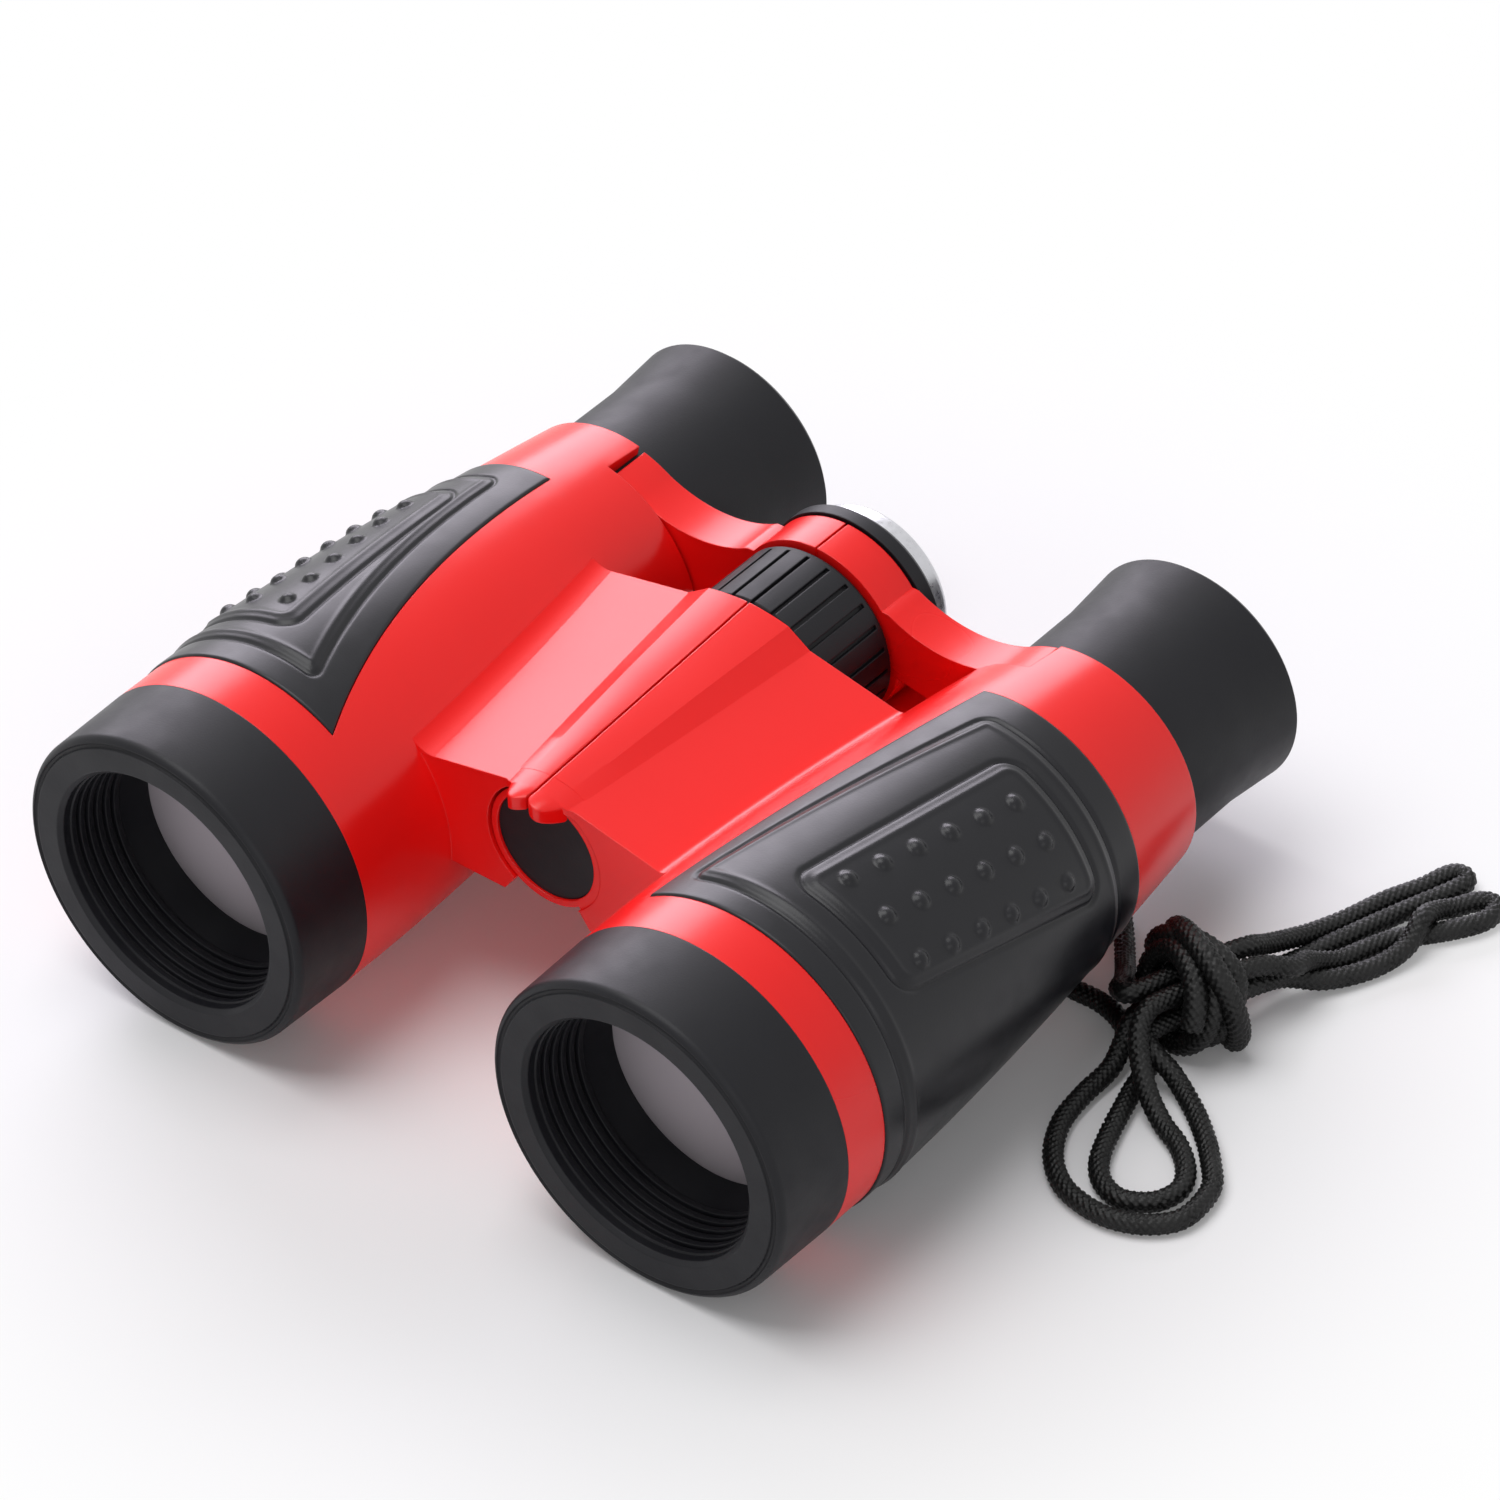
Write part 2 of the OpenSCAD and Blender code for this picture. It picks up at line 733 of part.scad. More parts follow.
module peg(r, from) {
    on_barrel() translate([0, (arm_front + arm_rear) / 2, 0])
        rotate([0, -peg_angle, 0]) translate([0, 0, from]) cylinder(r = r, h = web_inner_r - from);
}

module arm(side) {
    own_front = side > 0 ? arm_rear - arm_knuckle : arm_front;
    other_front = side > 0 ? arm_front : arm_rear - arm_knuckle;
    color([0.88, 0.1, 0.09]) half(side) {
        difference() {
            union() {
                slab(arm_front, arm_rear) arm_outline();
                on_hinge() rod(hub_knuckle_r, own_front, own_front + arm_knuckle);
            }
            on_hinge() {
                rod(hub_tunnel_r, other_front - gap, other_front + arm_knuckle + gap);
                rod(side > 0 ? nut_r + seat : nut_r + run, arm_front - over, arm_rear + over);
            }
        }
        peg(peg_r, tube_r - peg_depth);
    }
}

// Eyepiece tube with a flared eyecup and a bulkhead that the lens sits against
tube_front = guide_front - gap - focus_travel + over;
eye_shoulder = 1;
bulkhead = 1.6;
rim_round = 0.7;
bulkhead_rear = overall_length - eyecup_depth;
bulkhead_front = bulkhead_rear - bulkhead;
eye_ring_length = 2.4;
eye_lens_front = bulkhead_front - eye_lens_edge;
eye_seat_front = eye_lens_front - eye_ring_length;
tube_bore_r = tube_r - tube_wall;
eyecup_r = tube_bore_r + flare;

module tube_profile() {
    polygon([[tube_bore_r, tube_front], [tube_r, tube_front], [tube_r, overall_length - flare_length],
             [tube_r + flare, overall_length - rim_round], [tube_r + flare - rim_round, overall_length],
             [eyecup_r, overall_length], [tube_bore_r, bulkhead_rear],
             [eye_lens_r - eye_shoulder, bulkhead_rear], [eye_lens_r - eye_shoulder, bulkhead_front],
             [eye_lens_r + seat, bulkhead_front], [eye_lens_r + seat, eye_seat_front],
             [tube_bore_r, eye_seat_front]]);
}

module eyepiece_tube(side) {
    color([0.15, 0.15, 0.17]) half(side) difference() {
        on_barrel() along_y() rotate_extrude() tube_profile();
        peg(peg_r + seat, tube_r - tube_wall - over);
    }
}

eye_curve_r = 30;
eye_view_r = eye_lens_r - eye_shoulder;
eye_curve_centre = bulkhead_front - sqrt(eye_curve_r * eye_curve_r - eye_view_r * eye_view_r);

module eyepiece_lens(side) {
    color([0.6, 0.6, 0.66, 0.5]) half(side) on_barrel() along_y() rotate_extrude() intersection() {
        translate([0, eye_lens_front]) square([eye_lens_r, overall_length]);
        translate([0, eye_curve_centre]) circle(eye_curve_r, $fn = fine_fn);
    }
}

module eyepiece_ring(side) {
    color([0.12, 0.12, 0.13]) half(side) on_barrel()
        turned([[eye_view_r, eye_seat_front], [eye_lens_r, eye_seat_front],
                [eye_lens_r, eye_lens_front], [eye_view_r, eye_lens_front]]);
}

// Neck cord: one cord through the right lug, doubled back on itself in four loops and knotted.
// The route counts x from the hinge, y back from the hood rims and z up from the ground.
cord_r = cord_d / 2;
cord_route = [
    [31.8, 69.2, 2.2], [31.8, 71.6, 2.2], [33.4, 73.9, 1.8], [36.4, 73.6, 1.3], [39.2, 70.8, 1.1],
    [42.0, 67.3, 1.6], [44.8, 63.6, 3.4], [46.7, 60.6, 5.4], [48.0, 58.4, 7.0], [49.6, 57.6, 7.8],
    [50.7, 59.3, 7.9], [52.5, 64.9, 7.8], [54.7, 71.0, 7.4], [54.5, 74.9, 5.0], [54.4, 79.0, 3.1],
    [54.5, 83.3, 1.6], [55.4, 87.3, 1.1], [57.0, 92.2, 1.1], [58.8, 96.8, 1.1], [60.0, 99.4, 1.1],
    [60.7, 100.2, 1.1], [61.7, 100.3, 1.1], [62.4, 99.6, 1.1], [62.4, 98.5, 1.1], [61.3, 95.8, 1.1],
    [59.5, 91.1, 1.1], [57.9, 86.5, 1.1], [56.9, 82.6, 1.1], [56.3, 78.6, 1.3], [55.6, 74.5, 2.4],
    [54.6, 70.4, 4.4], [52.5, 64.9, 4.7], [50.5, 59.4, 4.8], [50.2, 57.4, 4.2], [50.6, 55.4, 2.8],
    [51.0, 52.8, 1.5], [51.0, 48.3, 1.1], [51.7, 43.7, 1.1], [53.9, 39.3, 1.1], [57.3, 36.2, 1.1],
    [61.0, 35.0, 1.1], [64.5, 35.0, 1.1], [67.8, 36.3, 1.1], [70.2, 38.8, 1.1], [70.9, 42.0, 1.1],
    [69.8, 45.2, 1.1], [67.7, 47.8, 1.1], [65.3, 50.2, 1.1], [62.2, 52.7, 1.1], [59.2, 54.6, 1.4],
    [56.9, 55.3, 2.6], [54.8, 55.3, 3.9], [53.2, 56.2, 4.6], [53.2, 58.4, 4.7], [55.3, 63.9, 4.7],
    [57.4, 69.5, 4.7], [58.1, 73.6, 3.2], [58.7, 77.7, 1.8], [59.4, 81.7, 1.1], [60.3, 85.6, 1.1],
    [61.9, 90.3, 1.1], [63.4, 94.0, 1.1], [64.7, 97.2, 1.1], [65.6, 98.3, 1.1], [66.9, 98.3, 1.1],
    [67.8, 97.4, 1.1], [67.8, 95.9, 1.1], [65.6, 91.2, 1.1], [63.4, 86.5, 1.1], [62.3, 82.6, 1.1],
    [61.6, 79.7, 1.6], [60.8, 76.8, 3.2], [59.5, 73.0, 5.8], [57.6, 69.5, 7.4], [55.3, 63.9, 7.8],
    [53.3, 58.8, 7.9], [52.9, 56.6, 7.7], [53.5, 54.4, 6.7], [55.4, 52.3, 4.6], [57.6, 50.8, 2.6],
    [60.4, 49.4, 1.3], [63.6, 47.8, 1.1], [66.3, 45.4, 1.1], [67.6, 42.6, 1.1], [66.6, 39.6, 1.1],
    [63.6, 37.9, 1.1], [60.6, 38.8, 1.1], [58.4, 41.2, 1.1], [56.8, 45.0, 1.1], [55.5, 49.1, 1.1],
    [54.5, 52.4, 1.1], [54.0, 55.0, 1.1], [52.9, 57.0, 1.1], [50.8, 58.1, 1.1], [48.4, 59.0, 1.1],
    [46.0, 60.2, 1.1], [43.2, 60.8, 1.1], [39.4, 60.8, 1.1], [35.4, 61.8, 1.4], [32.6, 63.4, 2.0],
    [31.8, 65.2, 2.2], [31.8, 66.6, 2.2]];
cord_sides = 8;
cord_steps = 2;
// Neighbouring points along a cord that the gap to itself leaves out
cord_skip = 7;

// A smooth curve through the route's points
function route_at(i) = cord_route[max(0, min(len(cord_route) - 1, i))];
function curve_at(i, t) =
    let (a = route_at(i - 1), b = route_at(i), c = route_at(i + 1), e = route_at(i + 2))
    (2 * b + (c - a) * t + (2 * a - 5 * b + 4 * c - e) * t * t
     + (3 * b - a - 3 * c + e) * t * t * t) / 2;
cord_points = concat(
    [for (i = [0 : len(cord_route) - 2], k = [0 : cord_steps - 1]) curve_at(i, k / cord_steps)],
    [route_at(len(cord_route) - 1)]);

// Knot: turns of the cord wound side by side round the strands
knot_centre = [53.9, 64.4, 6.2];
knot_r = 5;
knot_turns = 3.5;
knot_gap = 0.45;
knot_pitch = cord_d + knot_gap;
knot_lean = 20.7;
knot_rings = 24;

function knot_at(turn) =
    let (t = (turn - knot_turns / 2) * knot_pitch, across = knot_r * cos(turn * 360))
    knot_centre + [t * sin(knot_lean) + across * cos(knot_lean),
                   t * cos(knot_lean) - across * sin(knot_lean),
                   knot_r * sin(turn * 360)];
knot_points = [for (i = [0 : knot_turns * knot_rings]) knot_at(i / knot_rings)];

// A round tube swept along points
function unit(v) = v / norm(v);
function heading(points, i) = unit(points[min(i + 1, len(points) - 1)] - points[max(i - 1, 0)]);
function ring(points, i) =
    let (dir = heading(points, i), side = unit(cross(dir, [0, 0, 1])), rise = cross(side, dir))
    [for (k = [0 : cord_sides - 1]) let (turn = (k + 0.5) * 360 / cord_sides)
        points[i] + cord_r * (side * cos(turn) + rise * sin(turn))];

module tube(points) {
    rings = len(points);
    skin = [for (i = [0 : rings - 2], k = [0 : cord_sides - 1], half = [0, 1])
        let (a = i * cord_sides + k, b = i * cord_sides + (k + 1) % cord_sides)
        half == 0 ? [a, b, b + cord_sides] : [a, b + cord_sides, a + cord_sides]];
    last = (rings - 1) * cord_sides;
    ends = [for (k = [1 : cord_sides - 2], half = [0, 1])
        half == 0 ? [0, k + 1, k] : [last, last + k, last + k + 1]];
    translate([0, front_y, 0])
        polyhedron([for (i = [0 : rings - 1]) each ring(points, i)], concat(skin, ends));
}

function total(values, i = 0) = i == len(values) ? 0 : values[i] + total(values, i + 1);
function length_of(points) =
    total([for (i = [1 : len(points) - 1]) norm(points[i] - points[i - 1])]);
function self_gap(points) =
    min([for (i = [0 : len(points) - 1], j = [i + cord_skip : 1 : len(points) - 1])
        norm(points[i] - points[j])]) - cord_d;
echo(cord_length = length_of(cord_points), cord_self_gap = self_gap(cord_points));
echo(knot_length = length_of(knot_points), knot_self_gap = self_gap(knot_points));

module neck_cord() {
    color([0.06, 0.06, 0.07]) tube(cord_points);
}

module cord_knot() {
    color([0.07, 0.07, 0.08]) tube(knot_points);
}

barrel(1);  // right_barrel
barrel(-1);  // left_barrel
grip(1);  // right_grip
grip(-1);  // left_grip
objective_hood(1);  // right_objective_hood
objective_hood(-1);  // left_objective_hood
objective_lens(1);  // right_objective_lens
objective_lens(-1);  // left_objective_lens
lens_ring(1);  // right_lens_ring
lens_ring(-1);  // left_lens_ring
hinge_axle();
front_hinge_cap();
axle_screw();
focus_wheel();
focus_screw();
focus_nut();
rear_cap();
rear_cap_disc();
arm(1);  // right_arm
arm(-1);  // left_arm
eyepiece_tube(1);  // right_eyepiece_tube
eyepiece_tube(-1);  // left_eyepiece_tube
eyepiece_lens(1);  // right_eyepiece_lens
eyepiece_lens(-1);  // left_eyepiece_lens
eyepiece_ring(1);  // right_eyepiece_ring
eyepiece_ring(-1);  // left_eyepiece_ring
neck_cord();
cord_knot();
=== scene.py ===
"""Toy binoculars: moulded red and black plastic, clear lenses and a knotted braided cord on a pale floor."""
import json
import math

import bpy
import bmesh
from mathutils import Matrix, Vector


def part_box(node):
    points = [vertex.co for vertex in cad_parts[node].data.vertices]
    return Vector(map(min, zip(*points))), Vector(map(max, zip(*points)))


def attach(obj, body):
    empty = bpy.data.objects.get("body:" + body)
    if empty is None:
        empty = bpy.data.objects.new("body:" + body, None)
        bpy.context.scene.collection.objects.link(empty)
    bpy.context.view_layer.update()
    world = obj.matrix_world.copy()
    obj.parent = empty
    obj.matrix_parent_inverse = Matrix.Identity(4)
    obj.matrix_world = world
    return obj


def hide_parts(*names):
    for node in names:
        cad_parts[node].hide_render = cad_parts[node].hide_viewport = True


MM = 0.001

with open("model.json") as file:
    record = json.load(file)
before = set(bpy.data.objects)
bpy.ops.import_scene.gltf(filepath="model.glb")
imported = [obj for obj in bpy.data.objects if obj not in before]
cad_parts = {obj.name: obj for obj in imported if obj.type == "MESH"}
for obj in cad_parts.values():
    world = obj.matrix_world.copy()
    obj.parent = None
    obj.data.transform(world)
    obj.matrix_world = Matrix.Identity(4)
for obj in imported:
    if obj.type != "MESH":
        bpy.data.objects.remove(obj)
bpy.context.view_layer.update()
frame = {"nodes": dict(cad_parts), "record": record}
NODES = frame["nodes"]
# The two halves, and the side of the hinge that each lies on
SIGN = {"right": 1, "left": -1}

# Places that the frame gives
HOOD_LOW, HOOD_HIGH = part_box("right_objective_hood")
FRONT_Y = HOOD_LOW.y
BARREL_X = (HOOD_LOW.x + HOOD_HIGH.x) / 2
BARREL_Z = (HOOD_LOW.z + HOOD_HIGH.z) / 2


def add_object(name, data):
    """An object in the scene."""
    made = bpy.data.objects.new(name, data)
    bpy.context.scene.collection.objects.link(made)
    return made


# Camera
CAMERA_AZIMUTH = math.radians(40.65)
CAMERA_ELEVATION = math.radians(39.63)
CAMERA_ROLL = math.radians(-2.48)
CAMERA_TARGET = Vector((10.50, -1.80, 29.44)) * MM
CAMERA_DISTANCE = 855 * MM
CAMERA_LENS = 198.7
CAMERA_SENSOR = 36.0
CLIP_NEAR = 0.05
CLIP_FAR = 20.0


def make_camera():
    """Camera at the photograph's viewing angle."""
    around, above = CAMERA_AZIMUTH, CAMERA_ELEVATION
    back = Vector((math.sin(around) * math.cos(above), -math.cos(around) * math.cos(above), math.sin(above)))
    right = Vector((math.cos(around), math.sin(around), 0))
    up = back.cross(right)
    image_right = right * math.cos(CAMERA_ROLL) + up * math.sin(CAMERA_ROLL)
    image_up = up * math.cos(CAMERA_ROLL) - right * math.sin(CAMERA_ROLL)
    data = bpy.data.cameras.new("camera")
    data.lens = CAMERA_LENS
    data.sensor_width = CAMERA_SENSOR
    data.clip_start = CLIP_NEAR
    data.clip_end = CLIP_FAR
    camera = add_object("camera", data)
    turn = Matrix((image_right, image_up, back)).transposed().to_4x4()
    camera.matrix_world = Matrix.Translation(CAMERA_TARGET + back * CAMERA_DISTANCE) @ turn
    bpy.context.scene.camera = camera


# Materials, whose noise has its scale in waves per metre
NOISE_DETAIL = 3.0
NOISE_ROUGHNESS = 0.55
# Range of a noise value that is stretched to a range of roughness
NOISE_LOW = 0.3
NOISE_HIGH = 0.7
GRAIN_DETAIL = 2.0
BEVEL_SAMPLES = 6
RED_POLISH = 0.04
LENS_SCALE = 40
LENS_SHADES = (0.62, 0.56, 0.60), (0.66, 0.60, 0.64)
METAL_SCALE = 1500
METAL_DETAIL = 2.0
METAL_DARK_SHARE = 0.82
# Roughness of the metals' darkest and lightest spots, from the middle one
METAL_POLISH = (-0.06, 0.08)


def new_material(name):
    """A material, its node tree and its main shader."""
    material = bpy.data.materials.new(name)
    material.use_nodes = True
    tree = material.node_tree
    return material, tree, tree.nodes["Principled BSDF"]


def set_sockets(node, **values):
    """Sets a node's input sockets by name, where underscores stand for spaces."""
    for name, value in values.items():
        node.inputs[name.replace("_", " ")].default_value = value


def add_node(tree, kind, **values):
    """A node with its input sockets set by name."""
    node = tree.nodes.new(kind)
    set_sockets(node, **values)
    return node


def noise(tree, scale, detail=NOISE_DETAIL):
    """Noise in the object's own metres, as a value around a half."""
    place = tree.nodes.new("ShaderNodeTexCoord")
    made = add_node(tree, "ShaderNodeTexNoise", Scale=scale, Detail=detail, Roughness=NOISE_ROUGHNESS)
    tree.links.new(place.outputs["Object"], made.inputs["Vector"])
    return made.outputs["Fac"]


def spread(tree, value, low, high):
    """Maps a noise value to a range."""
    made = add_node(tree, "ShaderNodeMapRange", From_Min=NOISE_LOW, From_Max=NOISE_HIGH,
                    To_Min=low, To_Max=high)
    tree.links.new(value, made.inputs["Value"])
    return made.outputs["Result"]


def tint(tree, value, dark, light):
    """Colour between two shades by a value."""
    ramp = tree.nodes.new("ShaderNodeValToRGB")
    ramp.color_ramp.elements[0].color = (*dark, 1)
    ramp.color_ramp.elements[1].color = (*light, 1)
    tree.links.new(value, ramp.inputs["Fac"])
    return ramp.outputs["Color"]


def uneven(tree, shader, shades, shade_scale, roughness, rough_scale, rough_detail=NOISE_DETAIL):
    """A shade and a roughness that vary a little over a surface."""
    tree.links.new(tint(tree, noise(tree, shade_scale), *shades), shader.inputs["Base Color"])
    polish = spread(tree, noise(tree, rough_scale, rough_detail), *roughness)
    tree.links.new(polish, shader.inputs["Roughness"])


def rough_skin(tree, shader, grain_scale, grain_depth, edge_r=0.0):
    """Fine grain as bump, on edges that catch the light as if rounded."""
    bump = add_node(tree, "ShaderNodeBump", Strength=1.0, Distance=grain_depth)
    tree.links.new(noise(tree, grain_scale, GRAIN_DETAIL), bump.inputs["Height"])
    if edge_r:
        rounded = add_node(tree, "ShaderNodeBevel", Radius=edge_r)
        rounded.samples = BEVEL_SAMPLES
        tree.links.new(rounded.outputs["Normal"], bump.inputs["Normal"])
    tree.links.new(bump.outputs["Normal"], shader.inputs["Normal"])


def red_plastic(name, edge_r, roughness):
    """Glossy red ABS with a slightly uneven polish."""
    material, tree, shader = new_material(name)
    uneven(tree, shader, shades=((0.93, 0.008, 0.007), (0.96, 0.011, 0.010)), shade_scale=60,
           roughness=(roughness, roughness + RED_POLISH), rough_scale=25, rough_detail=2.0)
    set_sockets(shader, IOR=1.47, Specular_IOR_Level=0.42)
    rough_skin(tree, shader, grain_scale=500, grain_depth=0.0012 * MM, edge_r=edge_r)
    return material


def black_plastic():
    """Satin black plastic with a fine spark-eroded grain."""
    material, tree, shader = new_material("black_plastic")
    uneven(tree, shader, shades=((0.005, 0.005, 0.007), (0.009, 0.009, 0.012)), shade_scale=90,
           roughness=(0.42, 0.52), rough_scale=240, rough_detail=4.0)
    set_sockets(shader, Specular_IOR_Level=0.26)
    rough_skin(tree, shader, grain_scale=4200, grain_depth=0.012 * MM, edge_r=0.25 * MM)
    return material


def grip_rubber():
    """Soft black grip cover, a little shinier than the plastic."""
    material, tree, shader = new_material("grip_rubber")
    uneven(tree, shader, shades=((0.004, 0.004, 0.006), (0.008, 0.008, 0.011)), shade_scale=110,
           roughness=(0.30, 0.38), rough_scale=300, rough_detail=4.0)
    set_sockets(shader, Specular_IOR_Level=0.32)
    rough_skin(tree, shader, grain_scale=3600, grain_depth=0.008 * MM, edge_r=0.2 * MM)
    return material


def lens_plastic():
    """Moulded lens that lets some light through, with a grey violet cast."""
    material, tree, shader = new_material("lens_plastic")
    tree.links.new(tint(tree, noise(tree, LENS_SCALE), *LENS_SHADES), shader.inputs["Base Color"])
    set_sockets(shader, Transmission_Weight=0.25, Roughness=0.08, IOR=1.49)
    return material


def mottled_metal(name, color, roughness):
    """Metal with a fine mottle in its shade and its polish."""
    material, tree, shader = new_material(name)
    set_sockets(shader, Metallic=1.0)
    mottle = noise(tree, METAL_SCALE, METAL_DETAIL)
    darker = tuple(METAL_DARK_SHARE * part for part in color)
    polish = spread(tree, mottle, *(roughness + step for step in METAL_POLISH))
    tree.links.new(tint(tree, mottle, darker, color), shader.inputs["Base Color"])
    tree.links.new(polish, shader.inputs["Roughness"])
    return material


def cord_nylon():
    """Black braided nylon with dull fibre sheen."""
    material, tree, shader = new_material("cord_nylon")
    uneven(tree, shader, shades=((0.001, 0.001, 0.001), (0.004, 0.004, 0.004)), shade_scale=700,
           roughness=(0.36, 0.5), rough_scale=1600)
    set_sockets(shader, Sheen_Weight=0.02, Sheen_Roughness=0.4, Specular_IOR_Level=0.3)
    rough_skin(tree, shader, grain_scale=9000, grain_depth=0.03 * MM)
    return material


RED = red_plastic("red_plastic", edge_r=0.2 * MM, roughness=0.24)
# Reds for forms that run into others without an edge
RED_PLAIN = red_plastic("red_plain", edge_r=0.0, roughness=0.24)
RED_VALLEY = red_plastic("red_valley", edge_r=0.0, roughness=0.5)
GRIP = grip_rubber()
CORD = cord_nylon()
SLOT_MATERIALS = {
    "red_plastic": RED,
    "black_plastic": black_plastic(),
    "black_grip": GRIP,
    "lens": lens_plastic(),
    "silver": mottled_metal("silver", color=(0.62, 0.62, 0.65), roughness=0.3),
    "steel": mottled_metal("steel", color=(0.55, 0.55, 0.57), roughness=0.35),
    "cord": CORD}

# Smooth shading
WELD_DISTANCE = 0.0005 * MM
SOFT_NODES = ("right_arm", "left_arm")


def smooth_group(angle):
    """Geometry nodes that weld a mesh and shade it smooth, apart from edges sharper than an angle."""
    group = bpy.data.node_groups.new("smooth_by_angle", "GeometryNodeTree")
    group.interface.new_socket("Geometry", in_out="INPUT", socket_type="NodeSocketGeometry")
    group.interface.new_socket("Geometry", in_out="OUTPUT", socket_type="NodeSocketGeometry")
    start = group.nodes.new("NodeGroupInput")
    weld = add_node(group, "GeometryNodeMergeByDistance", Distance=WELD_DISTANCE)
    drop = add_node(group, "GeometryNodeRemoveAttribute", Name="custom_normal")
    faces = group.nodes.new("GeometryNodeSetShadeSmooth")
    edges = group.nodes.new("GeometryNodeSetShadeSmooth")
    edges.domain = "EDGE"
    bend = group.nodes.new("GeometryNodeInputMeshEdgeAngle")
    limit = add_node(group, "FunctionNodeCompare", B=angle)
    limit.operation = "LESS_THAN"
    end = group.nodes.new("NodeGroupOutput")
    group.links.new(start.outputs[0], weld.inputs["Geometry"])
    for near, far in ((weld, drop), (drop, faces), (faces, edges)):
        group.links.new(near.outputs["Geometry"], far.inputs["Geometry"])
    group.links.new(bend.outputs["Unsigned Angle"], limit.inputs["A"])
    group.links.new(limit.outputs["Result"], edges.inputs["Shade Smooth"])
    group.links.new(edges.outputs["Geometry"], end.inputs[0])
    return group


CRISP = smooth_group(angle=math.radians(12))
SOFT = smooth_group(angle=math.radians(34))


def smooth(piece, group):
    """Shades an object smooth."""
    piece.modifiers.new("smooth", "NODES").node_group = group


def dress_nodes():
    """Gives each CAD node its slot's material and smooth shading."""
    for part in frame["record"]["subparts"]:
        node = NODES[part["node"]]
        node.data.materials.clear()
        node.data.materials.append(SLOT_MATERIALS[part["material_slot"]])
        smooth(node, SOFT if part["node"] in SOFT_NODES else CRISP)


# Meshes
def finish_mesh(name, mesh, material):
    """A smooth object from a closed mesh."""
    bmesh.ops.recalc_face_normals(mesh, faces=mesh.faces)
    data = bpy.data.meshes.new(name)
    mesh.to_mesh(data)
    mesh.free()
    for face in data.polygons:
        face.use_smooth = True
    data.materials.append(material)
    return add_object(name, data)


def loft(name, rings, material):
    """A closed skin over rings with the same number of points."""
    mesh = bmesh.new()
    made = [[mesh.verts.new(point) for point in ring] for ring in rings]
    for near, far in zip(made, made[1:]):
        for k in range(len(near)):
            j = (k + 1) % len(near)
            mesh.faces.new((near[k], near[j], far[j], far[k]))
    mesh.faces.new(made[0])
    mesh.faces.new(made[-1])
    return finish_mesh(name, mesh, material)


def stations(first, last, count):
    """Places from first to last, a number of equal steps apart."""
    return [first + (last - first) * i / count for i in range(count + 1)]


# Neck cord
CORD_D = 2.0 * MM
